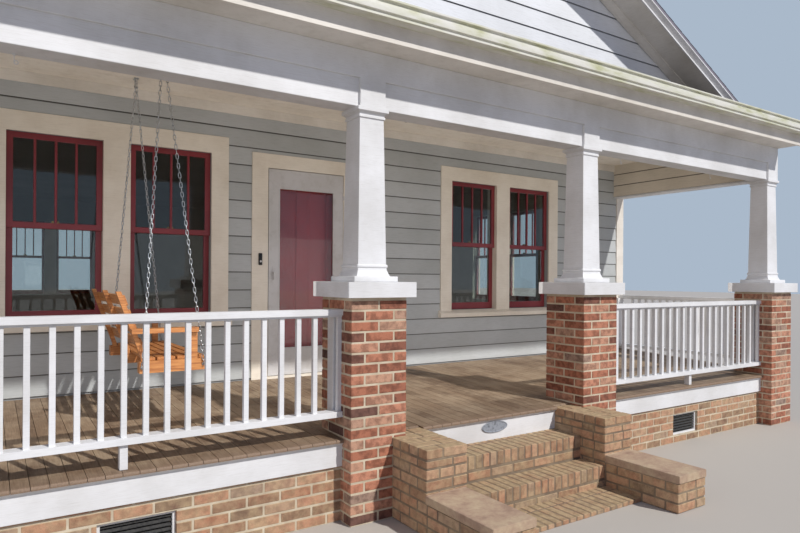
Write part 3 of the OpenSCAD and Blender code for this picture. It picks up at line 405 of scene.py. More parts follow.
def brick(washed=None):
    """Fired clay brick: red-brown to tan faces, some burnt dark, pitted and quite matt. Where washed
    gives the ends of a ramp, old sandy mortar lies over it in patches and on all that faces up."""
    material, tree, shader, place = blank(Roughness=0.88)
    shade = own_tone(tree, [(0.0, "6b5048"), (0.12, "97604c"), (0.35, "b8785d"), (0.6, "cb8f74"),
                            (0.82, "c79c82"), (1.0, "a08a7c")])
    # Kiln marks 40 mm wide and grit of 2 to 3 mm
    marks = add(tree, "TexNoise", {"Vector": place, "Scale": 25.0, "Detail": 4.0})
    burnt = add(tree, "ValToRGB", {"Fac": marks}, [(0.38, "6f5a52"), (0.58, "ffffff")])
    grit = add(tree, "TexNoise", {"Vector": place, "Scale": 380.0, "Detail": 3.0, "Roughness": 0.7})
    speckle = add(tree, "ValToRGB", {"Fac": grit}, [(0.3, "8c8078"), (0.55, "ffffff")])
    if washed:
        # The wash lies in patches about 0.1 m wide
        cloud = add(tree, "TexNoise", {"Vector": place, "Scale": 9.0, "Detail": 6.0, "Roughness": 0.7})
        patch = add(tree, "ValToRGB", {"Fac": cloud}, [(0.35, washed[0]), (0.65, washed[1])])
        sandy = add(tree, "Math", {0: upward(tree), 1: 0.35, 2: patch}, operation="MULTIPLY_ADD",
                    use_clamp=True)
        shade = add(tree, "Mix", {FACTOR: sandy, FIRST: shade, SECOND: linear("bca582")}, **MIX)
    shade = add(tree, "Mix", {FACTOR: 0.3 if washed else 0.5, FIRST: shade, SECOND: burnt}, **MULTIPLY)
    shade = add(tree, "Mix", {FACTOR: 0.5, FIRST: shade, SECOND: speckle}, **MULTIPLY)
    relief = add(tree, "Bump", {"Height": grit, "Strength": 0.6, "Distance": 0.0015})
    wire(shader, {"Base Color": shade, "Normal": relief})
    return material


def mortar(dark, pale, coat=None):
    """Sandy mortar, struck by hand: coarse and fully matt. A coat, given by its stops, lies on the
    tops of the lower cheek walls."""
    material, tree, shader, place = blank(Roughness=0.95)
    cloud = add(tree, "TexNoise", {"Vector": place, "Scale": 9.0, "Detail": 5.0})
    sand = add(tree, "TexNoise", {"Vector": place, "Scale": 450.0, "Detail": 2.0})
    shade = add(tree, "ValToRGB", {"Fac": cloud}, [(0.3, dark), (0.7, pale)])
    if coat:
        axes = add(tree, "SeparateXYZ", {"Vector": place})
        above = add(tree, "Math", {0: axes.outputs["Z"], 1: CHEEK_CAP_Z}, operation="GREATER_THAN")
        before = add(tree, "Math", {0: axes.outputs["Y"], 1: LOWER_STEP_Y - 0.001}, operation="LESS_THAN")
        there = add(tree, "Math", {0: above, 1: before}, operation="MULTIPLY")
        blots = add(tree, "TexNoise", {"Vector": place, "Scale": 7.0, "Detail": 8.0, "Roughness": 0.75})
        coated = add(tree, "ValToRGB", {"Fac": blots}, coat)
        shade = add(tree, "Mix", {FACTOR: there, FIRST: shade, SECOND: coated}, **MIX)
    relief = add(tree, "Bump", {"Height": sand, "Strength": 0.7, "Distance": 0.002})
    wire(shader, {"Base Color": shade, "Normal": relief})
    return material


def paint(colour, shaded, gloss=0.5, grain=(4.0, 4.0, 90.0), relief=0.25, dust_and_shade=0.0):
    """Oil paint over planed boards: brush marks and grain along the board, and a little grime. The last
    setting is how far the faces that look down are greyed: painted shade under things, with dust."""
    material, tree, shader, place = blank(Roughness=gloss)
    marks = drawn_noise(tree, place, grain, 3.0, 6.0, 0.65)
    cloud = add(tree, "TexNoise", {"Vector": place, "Scale": 2.2, "Detail": 6.0, "Roughness": 0.6})
    soil = add(tree, "ValToRGB", {"Fac": cloud}, [(0.34, shaded), (0.6, colour)])
    streak = add(tree, "ValToRGB", {"Fac": marks}, [(0.25, "e4e2de"), (0.5, "ffffff")])
    shade = add(tree, "Mix", {FACTOR: 0.6, FIRST: soil, SECOND: streak}, **MULTIPLY)
    if dust_and_shade:
        # Painted shade with dust: faces that look down are mixed towards grey, as shade falls under things
        down = add(tree, "Math", {0: upward(tree), 1: -0.5}, operation="LESS_THAN")
        dusty_and_shaded = add(tree, "Math", {0: down, 1: dust_and_shade}, operation="MULTIPLY")
        shade = add(tree, "Mix", {FACTOR: dusty_and_shaded, FIRST: shade, SECOND: linear("6d655b")}, **MIX)
    brushed = add(tree, "Bump", {"Height": marks, "Strength": relief, "Distance": 0.0008})
    wire(shader, {"Base Color": shade, "Normal": brushed})
    return material


def tarred_paint(colour, shaded, tar):
    """Paint that shows only on faces that look down, with tar and weather on all others."""
    material = paint(colour, shaded)
    tree = material.node_tree
    shader = tree.nodes["Principled BSDF"]
    painted = shader.inputs["Base Color"].links[0].from_socket
    edge = add(tree, "Math", {0: upward(tree), 1: -0.5}, operation="GREATER_THAN")
    shade = add(tree, "Mix", {FACTOR: edge, FIRST: painted, SECOND: linear(tar)}, **MIX)
    wire(shader, {"Base Color": shade})
    return material


def lap_paint(low_tone, high_tone, start, lap_shadow, lap=LAP):
    """House paint on lap boards, each board a shade apart, with a painted shadow on and below their lower
    edges. The lowest edge of the boards is at the height start."""
    material, tree, shader, place = blank(Roughness=0.6)
    body = own_tone(tree, [(0.0, low_tone), (1.0, high_tone)])
    marks = drawn_noise(tree, place, (3.0, 3.0, 70.0), 3.0, 6.0, 0.65)
    streak = add(tree, "ValToRGB", {"Fac": marks}, [(0.25, "dcdcd9"), (0.5, "ffffff")])
    cloud = add(tree, "TexNoise", {"Vector": place, "Scale": 1.6, "Detail": 5.0})
    soil = add(tree, "ValToRGB", {"Fac": cloud}, [(0.3, "d4d3cd"), (0.6, "ffffff")])
    shade = add(tree, "Mix", {FACTOR: 0.7, FIRST: body, SECOND: streak}, **MULTIPLY)
    shade = add(tree, "Mix", {FACTOR: 0.4, FIRST: shade, SECOND: soil}, **MULTIPLY)
    # Painted shadow of each lap: the lower edges, which face down, and the top 10 mm below each of them are
    # darkened
    under = add(tree, "Math", {0: upward(tree), 1: -0.4}, operation="LESS_THAN")
    axes = add(tree, "SeparateXYZ", {"Vector": place})
    rise = add(tree, "Math", {0: axes.outputs["Z"], 1: start + lap, 2: start}, operation="WRAP")
    below = add(tree, "MapRange", {0: rise, 1: start + lap - 0.012, 2: start + lap - 0.004})
    lap_shadow_mask = add(tree, "Math", {0: under, 1: below}, operation="MAXIMUM")
    shade = add(tree, "Mix", {FACTOR: lap_shadow_mask, FIRST: shade, SECOND: linear(lap_shadow)}, **MIX)
    brushed = add(tree, "Bump", {"Height": marks, "Strength": 0.3, "Distance": 0.0008})
    wire(shader, {"Base Color": shade, "Normal": brushed})
    return material


def wall_faces(outer, inner):
    """Paint on the outside of the walls, and mottled plaster on the rooms' side."""
    material, tree, shader, place = blank(Roughness=0.85)
    axes = add(tree, "SeparateXYZ", {"Vector": place})
    wide = add(tree, "Math", {0: axes.outputs["X"]}, operation="ABSOLUTE")
    off = add(tree, "Math", {0: axes.outputs["Y"], 1: (FRONT_Y + REAR_Y) / 2}, operation="SUBTRACT")
    deep = add(tree, "Math", {0: off}, operation="ABSOLUTE")
    across = add(tree, "Math", {0: wide, 1: HOUSE_HALF - 0.05}, operation="GREATER_THAN")
    along = add(tree, "Math", {0: deep, 1: (REAR_Y - FRONT_Y) / 2 - 0.05}, operation="GREATER_THAN")
    outside = add(tree, "Math", {0: across, 1: along}, operation="MAXIMUM")
    cloud = add(tree, "TexNoise", {"Vector": place, "Scale": 1.5, "Detail": 5.0})
    plaster = add(tree, "ValToRGB", {"Fac": cloud}, inner)
    shade = add(tree, "Mix", {FACTOR: outside, FIRST: plaster, SECOND: linear(outer)}, **MIX)
    wire(shader, {"Base Color": shade})
    return material


def worn_floor(boards, bare, weathered):
    """Floor paint on narrow boards, walked thin in patches that show bare wood."""
    material, tree, shader, place = blank(Roughness=0.6)
    body = own_tone(tree, boards)
    marks = drawn_noise(tree, place, (60.0, 3.0, 60.0), 2.0, 7.0, 0.7)
    cloud = add(tree, "TexNoise", {"Vector": place, "Scale": 3.0, "Detail": 7.0, "Roughness": 0.7})
    worn = add(tree, "ValToRGB", {"Fac": cloud}, [(0.42, "000000"), (0.7, "ffffff")])
    grain = add(tree, "ValToRGB", {"Fac": marks}, [(0.3, "c2b8b0"), (0.6, "ffffff")])
    # The front ends weather over the first 0.1 m
    axes = add(tree, "SeparateXYZ", {"Vector": place})
    edge = add(tree, "MapRange", {0: axes.outputs["Y"], 1: FLOOR_LOW.y + 0.1, 2: FLOOR_LOW.y})
    shade = add(tree, "Mix", {FACTOR: worn, FIRST: body, SECOND: linear(bare)}, **MIX)
    shade = add(tree, "Mix", {FACTOR: edge, FIRST: shade, SECOND: linear(weathered)}, **MIX)
    shade = add(tree, "Mix", {FACTOR: 0.8, FIRST: shade, SECOND: grain}, **MULTIPLY)
    relief = add(tree, "Bump", {"Height": marks, "Strength": 0.4, "Distance": 0.001})
    wire(shader, {"Base Color": shade, "Normal": relief})
    return material


def granules(tabs):
    """Mineral granules pressed into asphalt: speckled and fully matt, each tab its own tone."""
    material, tree, shader, place = blank(Roughness=0.95)
    body = own_tone(tree, tabs)
    # Granules are 1 to 2 mm and are drawn at 4 mm, so that they show
    grain = add(tree, "TexNoise", {"Vector": place, "Scale": 260.0, "Detail": 2.0, "Roughness": 0.8})
    speck = add(tree, "ValToRGB", {"Fac": grain}, [(0.35, "77777a"), (0.65, "ffffff")])
    shade = add(tree, "Mix", {FACTOR: 0.7, FIRST: body, SECOND: speck}, **MULTIPLY)
    relief = add(tree, "Bump", {"Height": grain, "Strength": 0.8, "Distance": 0.002})
    wire(shader, {"Base Color": shade, "Normal": relief})
    return material


def pane(tint, shadow):
    """Clear glass with a slight wave that bends what it mirrors."""
    material, tree, shader, place = blank(
        Roughness=0.0, IOR=1.5, Transmission_Weight=1.0, Base_Color=linear(tint))
    wave = add(tree, "TexNoise", {"Vector": place, "Scale": 2.5, "Detail": 1.0})
    wire(shader, {"Normal": add(tree, "Bump", {"Height": wave, "Strength": 0.12, "Distance": 0.01})})
    # Light from lamps passes straight through, as it does through a thin pane
    lamp = add(tree, "LightPath").outputs["Is Shadow Ray"]
    through = add(tree, "BsdfTransparent", {"Color": linear(shadow)})
    both = add(tree, "MixShader", {0: lamp, 1: shader, 2: through})
    wire(tree.nodes["Material Output"], {"Surface": both})
    return material


def waxed_boards(stops):
    """Waxed floor boards 83 mm wide, with a dark joint between them."""
    material, tree, shader, place = blank(Roughness=0.4)
    board = add(tree, "TexWave", {"Vector": place, "Scale": 1.92, "Distortion": 0.0},
                bands_direction="X", wave_profile="SAW")
    joint = add(tree, "ValToRGB", {"Fac": board}, [(0.0, "2b1a10"), (0.04, "ffffff")])
    grain = drawn_noise(tree, place, (40.0, 2.0, 40.0), 2.0, 7.0)
    body = add(tree, "ValToRGB", {"Fac": grain}, stops)
    wire(shader, {"Base Color": add(tree, "Mix", {FACTOR: 1.0, FIRST: body, SECOND: joint}, **MULTIPLY)})
    return material


PLASTER = [(0.3, "7b7c72"), (0.7, "8a8b81")]


def fired_brick():
    """Clean fired brick of the piers: red-brown and matt, each brick its own tone."""
    return brick()


def mortar_smeared_brick():
    """Brick of the foundation walls, smeared with mortar when it was pointed, so that it looks sandy."""
    return brick(washed=("7c7c7c", "e4e4e4"))


def worn_step_brick():
    """Brick of the steps, trodden and washed pale, so that the bricks hardly differ in tone."""
    return brick(washed=("a0a0a0", "ececec"))


def lime_mortar():
    """Sandy lime mortar of the piers and foundation walls: pale, coarse and fully matt."""
    return mortar(dark="b3a48c", pale="d6cab3")


def soiled_mortar_and_coat():
    """Mortar of the steps, darkened by soil, and the smooth brown coat on the lower cheek walls."""
    return mortar(dark="6f6052", pale="94846e",
                  coat=[(0.3, "8d7462"), (0.45, "ab917c"), (0.6, "bba68b"), (0.7, "c6b79b")])


def white_oil_paint():
    """White oil paint on porch timber: even, slightly glossy, with painted shade and dust on the undersides.
    """
    return paint(colour="e6e7e9", shaded="d6d6d6", dust_and_shade=0.15)


def eave_oil_paint():
    """Warm white oil paint under the eaves, dulled by dust."""
    return paint(colour="e4dfd7", shaded="d0cac0")


def tarred_roof_boards():
    """Roof boards: painted under the eaves, and dark with weather and tar along their edges."""
    return tarred_paint(colour="e4dfd7", shaded="d0cac0", tar="77717d")


def brightened_ceiling_paint():
    """Pale oil paint on the porch ceiling, paler than the casings' paint to stand for the light that the
    floor throws up onto it: painted light.
    """
    return paint(colour="f2ece1", shaded="e8e0d3")


def warm_white_oil_paint():
    """Warm white oil paint on casings, with the same brush marks."""
    return paint(colour="e6dfd2", shaded="d8cfc0")


def dark_red_gloss_paint():
    """Dark red gloss paint on window sashes: a clear highlight along each edge."""
    return paint(colour="84343a", shaded="6f2a2f", gloss=0.3)


def deep_red_gloss_paint():
    """Deep red gloss paint on the entry door, brushed out smooth."""
    return paint(colour="b62533", shaded="9f1c29", gloss=0.28)


def pale_grey_baked_enamel():
    """Baked pale grey enamel on aluminium: smooth and even, a low sheen."""
    return paint(colour="c6c5c6", shaded="b9b7b5", gloss=0.35, grain=(6.0, 6.0, 6.0), relief=0.05)


def blue_grey_house_paint():
    """Blue-grey house paint, brushed on the lap boards of the walls: a dull sheen."""
    return lap_paint(low_tone="aeb2b3", high_tone="babec0", start=FIRST_LAP_Z, lap_shadow="4c4b46")


def sunlit_house_paint():
    """The same paint on the gables, made lighter to stand for the full sun on them: a painted sunlit copy of
    the wall paint.
    """
    return lap_paint(low_tone="e4e7ec", high_tone="eaedf2", start=GABLE_LAP_Z, lap_shadow="7b7d82")


def warm_white_lap_paint():
    """Warm white paint on the lap boards of the side beams, with a painted shadow on and below their lower
    edges.
    """
    return lap_paint(low_tone="dbd2c3", high_tone="e3dbcd", start=BEAM_LAP_Z, lap_shadow="544b40",
                     lap=BEAM_LAP)


def painted_wall_and_plaster():
    """Walls behind the lap boards: house paint on the outside, matt painted plaster inside."""
    return wall_faces(outer="8f9294", inner=PLASTER)


def worn_floor_paint():
    """Brown floor paint, worn to grey-tan wood and weathered grey-brown at its front ends."""
    return worn_floor(boards=[(0.0, "6f5b49"), (0.5, "816c57"), (1.0, "917d67")], bare="a8967f",
                      weathered="8d7763")


def charcoal_asphalt_shingle():
    """Asphalt shingles: each tab its own charcoal, covered with mineral granules, fully matt."""
    return granules(tabs=[(0.0, "343437"), (0.5, "434347"), (1.0, "545357")])


def stained_gutter_enamel():
    """Cream enamel on folded sheet, with soft yellow-green weather stains 0.3 m long."""
    return mottled(scale=1.5, detail=6.0, fine=0.6, run=(2.5, 9.0, 9.0), relief=(0.1, 0.001),
                   Roughness=0.45, stops=[(0.32, "b9ba94"), (0.45, "d0d0bd"), (0.6, "dcdbd2")])


def drawn_window_glass():
    """Drawn window glass: clear and faintly green, with the slight wave of its drawing."""
    return pane(tint="dce3e1", shadow="e4ebea")


def zinc_plated_steel():
    """Zinc-plated steel chain: grey, dull in patches where the plating has aged."""
    return mottled(scale=60.0, detail=4.0, Metallic=1.0, Roughness=0.4,
                   stops=[(0.35, "b4b8bc"), (0.65, "e2e5e7")])


def lacquered_brass():
    """Lacquered brass knob: warm and glossy, browned where hands turn it less."""
    return mottled(scale=90.0, detail=3.0, Metallic=1.0, Roughness=0.28,
                   stops=[(0.35, "9a7438"), (0.65, "d1a65a")])


def black_painted_iron():
    """Painted cast iron: near black, slightly rough, dusted in its hollows."""
    return mottled(scale=70.0, detail=5.0, relief=(0.3, 0.001), Roughness=0.6,
                   stops=[(0.35, "1d1d1f"), (0.7, "3b3a38")])


def moulded_black_plastic():
    """Moulded black plastic of the doorbell: fine matt grain."""
    return mottled(scale=900.0, detail=2.0, relief=(0.3, 0.0004), Roughness=0.4,
                   stops=[(0.3, "121214"), (0.7, "1f1f22")])


def grey_plaque_enamel():
    """Grey enamel on the cast oval plaque, chipped near its rim."""
    return mottled(scale=45.0, detail=5.0, relief=(0.2, 0.001), Roughness=0.4,
                   stops=[(0.36, "6f737a"), (0.5, "949aa3")])


def oiled_wood(run):
    """Oiled hardwood: orange-brown, with dark growth lines that the scales in run draw out."""
    return mottled(scale=2.0, detail=5.0, stops=[(0.3, "84502f"), (0.48, "a86e3e"), (0.7, "bf8650")],
                   relief=(0.3, 0.0008), run=run, Roughness=0.45)


def oiled_swing_slats():
    """Oiled hardwood slats of the swing, orange-brown, with dark growth lines along the porch."""
    return oiled_wood((70.0, 3.5, 70.0))


def oiled_swing_frame():
    """Oiled arms and side boards of the swing, with the growth lines across the slats."""
    return oiled_wood((3.5, 70.0, 40.0))


def room_plaster():
    """Painted plaster of the rooms, in a muted grey-green, softly mottled."""
    return mottled(scale=1.5, detail=5.0, Roughness=0.85, stops=PLASTER)


def waxed_room_boards():
    """Waxed boards of the rooms: brown with drawn-out grain and a low sheen."""
    return waxed_boards(stops=[(0.3, "6b4426"), (0.7, "94643a")])


def frosted_bulb_glass():
    """Frosted glass of a bare lamp bulb: white, smooth and softly shining."""
    return mottled(scale=30.0, detail=2.0, Roughness=0.25, Transmission_Weight=0.3,
                   stops=[(0.3, "ebe9e2"), (0.7, "f6f4ee")])


@functools.cache
def finish_of(make):
    """The material that a function makes, made once and named after the function."""
    material = make()
    material.name = make.__name__
    return material


# Sizes that a user would change

def size(name, description, default):
    """A length in metres, as a property."""
    return bpy.props.FloatProperty(name=name, description=description, default=default, min=0.0005,
                                   unit="LENGTH", precision=4)


class BrickSizes(bpy.types.PropertyGroup):
    long: size("Length", "Length of one brick", 0.1945)
    high: size("Height", "Height of one brick", 0.055)
    wide: size("Width", "Width of one brick", 0.092)
    joint: size("Joint", "Thickness of the mortar joints", 0.0125)
    proud: size("Projection", "How far the bricks stand before the mortar", 0.003)
    edge: size("Edge", "Width of the worn edges", 0.003)


class BoardSizes(bpy.types.PropertyGroup):
    lap: size("Lap exposure", "Height of a wall board to the weather", LAP)
    lap_thick: size("Lap thickness", "Thickness of a wall board at its lower edge", 0.014)
    floor_wide: size("Floor board", "Width of a porch floor board", 0.083)
    ceiling_wide: size("Ceiling board", "Width of a porch ceiling board", 0.083)
    groove: size("Groove", "Width of the grooves between boards", 0.003)


class RoofSizes(bpy.types.PropertyGroup):
    exposure: size("Exposure", "Height of a shingle to the weather", 0.143)
    tab: size("Tab", "Width of a shingle's tab", 0.305)
    thick: size("Thickness", "Thickness of a shingle", 0.006)
    slot: size("Slot", "Width of the slot between tabs", 0.008)


class FittingSizes(bpy.types.PropertyGroup):
    chain_pitch: size("Chain pitch", "Inner length of a chain link", 0.032)
    chain_wire: size("Chain wire", "Thickness of the chain's wire", 0.0055)
    bar_wide: size("Window bar", "Width of the bars in the upper sashes", 0.02)


# Bricks

class BUNGALOW_OT_bricks(bpy.types.Operator):
    """Lay the bricks of the piers, foundation walls, steps and cheek walls"""

    bl_idname = "bungalow.bricks"
    bl_label = "Lay the bricks"

    def execute(self, context):
        self.sizes = context.scene.bungalow_bricks
        self.chance = random.Random(11)
        self.lay_piers()
        self.lay_foundations()
        self.lay_steps()
        self.lay_cheeks()
        return {"FINISHED"}

    def unit(self):
        """One brick, its middle at the origin, with worn edges."""
        s = self.sizes
        half = Vector((s.long, s.wide, s.high)) / 2
        return soften(block("brick", -half, half), s.edge)

    def place(self, x, y, z, turn, long, high, deep=1.0):
        """The matrix of one brick, a little out of true."""
        loose = self.chance.uniform
        tilt = Matrix.Rotation(math.radians(loose(-0.4, 0.4)), 4, "X")
        return at(x + loose(-0.0007, 0.0007), y + loose(-0.0007, 0.0007), z + loose(-0.0006, 0.0006),
                  turn + loose(-0.25, 0.25), (long / self.sizes.long, deep, high / self.sizes.high)) @ tilt

    def face(self, start, turn, length, low, high, corners=(True, True), first=0, gaps=()):
        """Places for the bricks of one wall face. The face runs from start in the direction turn, with
        outdoors on its right. Where it ends at a corner, every other course belongs to the next face."""
        s = self.sizes
        along = Vector((math.cos(math.radians(turn)), math.sin(math.radians(turn))))
        inwards = Vector((-along.y, along.x))
        places = []
        rise = s.high + s.joint
        corner = s.wide - s.proud + s.joint
        for course in range(math.ceil((high - low) / rise)):
            z0 = low + course * rise
            z1 = min(z0 + s.high, high)
            if z1 - z0 < THIN_COURSE:
                continue
            own = (course + first) % 2 == 0
            cuts = [0.0 if not meets else -s.proud if own else corner for meets in corners]
            begin, end = cuts[0], length - cuts[1]
            step = s.long if own or corners[0] else s.long / 2 - s.joint / 2
            while begin < end - 0.01:
                finish = min(begin + step, end)
                if end - finish < 0.02:
                    finish = end
                for a, b in self.around(begin, finish, z0, z1, gaps):
                    spot = Vector(start) + along * (a + b) / 2 + inwards * (s.wide / 2 - s.proud)
                    places.append(self.place(spot.x, spot.y, (z0 + z1) / 2, turn, b - a, z1 - z0))
                begin = finish + s.joint
                step = s.long
        return places

    def around(self, a, b, z0, z1, gaps):
        """What is left of a brick from a to b beside the gaps that its course meets."""
        parts = [(a, b)]
        for g0, g1, low, high in gaps:
            if z1 <= low or z0 >= high:
                continue
            left = [part for c, d in parts for part in ((c, min(d, g0)), (max(c, g1), d))]
            parts = [part for part in left if part[1] - part[0] > SHORT_BRICK]
        return parts

    def ring(self, x0, x1, y0, y1, high, side_gaps=((), ())):
        """Places for the bricks round an upright block that stands on the ground."""
        starts = ((x0, y0, x1 - x0, ()), (x1, y0, y1 - y0, side_gaps[0]),
                  (x1, y1, x1 - x0, ()), (x0, y1, y1 - y0, side_gaps[1]))
        places = []
        for i, (x, y, length, gaps) in enumerate(starts):
            places += self.face((x, y), 90 * i, length, GROUND_GAP, high, first=i % 2, gaps=gaps)
        return places

    def lay_piers(self):
        top = PIER_HIGH.z - CAP_GAP
        places = []
        for x in PIER_PLACES:
            places += self.ring(x - PIER_HALF, x + PIER_HALF, PIER_LOW.y, PIER_HIGH.y, top)
        dress(lay("pier_bricks", self.unit(), places, 3), fired_brick)

    def lay_foundations(self):
        low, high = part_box("house_foundation")
        right = [self.vent(y - low.y) for y in SIDE_WINDOWS]
        left = [self.vent(high.y - y) for y in SIDE_WINDOWS]
        places = self.ring(low.x, high.x, low.y, high.y, high.z, (right, left))
        dress(lay("house_foundation_bricks", self.unit(), places, 5), mortar_smeared_brick)

        low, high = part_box("porch_foundation")
        side = high.y - PIER_HIGH.y
        ends = (False, False)
        places = []
        for start, vent_x in ((INNER_X + PIER_HALF, VENT_X), (PIER_HALF - OUTER_X, -VENT_X)):
            places += self.face((start, low.y), 0, BAY_WIDE, GROUND_GAP, high.z, ends,
                                gaps=[self.vent(vent_x - start)])
        places += self.face((high.x, PIER_HIGH.y), 90, side, GROUND_GAP, SILL_Z, ends)
        places += self.face((low.x, high.y), 270, side, GROUND_GAP, SILL_Z, ends)
        dress(lay("porch_foundation_bricks", self.unit(), places, 7), mortar_smeared_brick)

    def vent(self, middle):
        """A vent hole with its middle this far along a wall, as a gap."""
        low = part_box("vent_grilles")[0].z
        return middle - VENT_WIDE / 2, middle + VENT_WIDE / 2, low, low + VENT_HIGH

    def lay_steps(self):
        """Bricks on edge on each tread, with a course of stretchers below."""
        s = self.sizes
        ground_top = 0.025
        bed = 0.012
        rows = [(2 * STEP_RISE, UPPER_STEP_Y, PORCH_BASE_Y), (STEP_RISE, LOWER_STEP_Y, UPPER_STEP_Y),
                (ground_top, GROUND_STEP_Y, LOWER_STEP_Y)]
        places = []
        count = 20
        pitch = 2 * STEP_HALF / count
        on_edge = Matrix.Rotation(math.radians(90), 4, "X")
        for top, front, back in rows:
            deep = back - front + s.proud
            longest = s.long + 0.02
            cuts = [(front - s.proud, min(deep, longest))]
            if deep > longest + 0.03:
                cuts.append((front - s.proud + longest + s.joint, deep - longest - s.joint))
            for start, length in cuts:
                for i in range(count):
                    x = -STEP_HALF + (i + 0.5) * pitch
                    spot = self.place(x, start + length / 2, top - s.wide / 2 + s.proud, 90, length, s.high)
                    places.append(spot @ on_edge @ Matrix.Diagonal((1, 1, (pitch - s.joint) / s.high, 1)))
            if top > ground_top:
                places += self.face((-STEP_HALF, front), 0, 2 * STEP_HALF, top - STEP_RISE + bed,
                                    top - s.wide - s.joint + s.proud, (False, False))
        bricks = bisect(lay("step_bricks", self.unit(), places, 9), (0, 0, 0.001), (0, 0, -1))
        dress(bricks, worn_step_brick)

    def lay_cheeks(self):
        s = self.sizes
        low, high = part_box("step_cheeks")
        upper_top = high.z - s.high - s.joint
        lower_back = LOWER_STEP_Y - s.proud - s.joint
        places = []
        for side in (-1, 1):
            x0, x1 = sorted((side * STEP_HALF, side * (STEP_HALF + CHEEK_WIDE)))
            backs = (PORCH_BASE_Y, PIER_LOW.y)[::side]
            places += self.cheek(x0, x1, LOWER_STEP_Y, *backs, upper_top)
            places += self.cheek(x0, x1, low.y + 0.01, lower_back, lower_back, CHEEK_CAP_Z - CAP_GAP)
            places += self.headers(x0, x1, LOWER_STEP_Y, PIER_LOW.y, high.z)
            x0, x1 = sorted((side * STEP_HALF, side * (INNER_X - PIER_HALF)))
            places += self.headers(x0, x1, PIER_LOW.y + s.joint + s.proud, PORCH_BASE_Y, high.z)
        dress(lay("cheek_bricks", self.unit(), places, 13), worn_step_brick)

    def cheek(self, x0, x1, front, left_back, right_back, top):
        """Places for the bricks on the front and both sides of a wall that stands out from the porch."""
        return (self.face((x0, front), 0, x1 - x0, GROUND_GAP, top)
                + self.face((x1, front), 90, right_back - front, GROUND_GAP, top, (True, False), 1)
                + self.face((x0, left_back), 270, left_back - front, GROUND_GAP, top, (False, True), 1))

    def headers(self, x0, x1, front, back, top):
        """Places for the top course, whose bricks lie across the wall so that they show from above."""
        s = self.sizes
        deep = back - front + s.proud
        count = round(deep / (s.wide + s.joint))
        wide = (deep - (count - 1) * s.joint) / count
        whole = x1 - x0 + 2 * s.proud - s.joint
        places = []
        for i in range(count):
            y = front - s.proud + wide / 2 + i * (wide + s.joint)
            cut = whole * (0.4 + 0.2 * (i % 2))
            for start, length in ((0.0, cut), (cut + s.joint, whole - cut)):
                x = x0 - s.proud + start + length / 2
                places.append(self.place(x, y, top - s.high / 2 + s.proud, 0, length, s.high, wide / s.wide))
        return places


# Wall boards

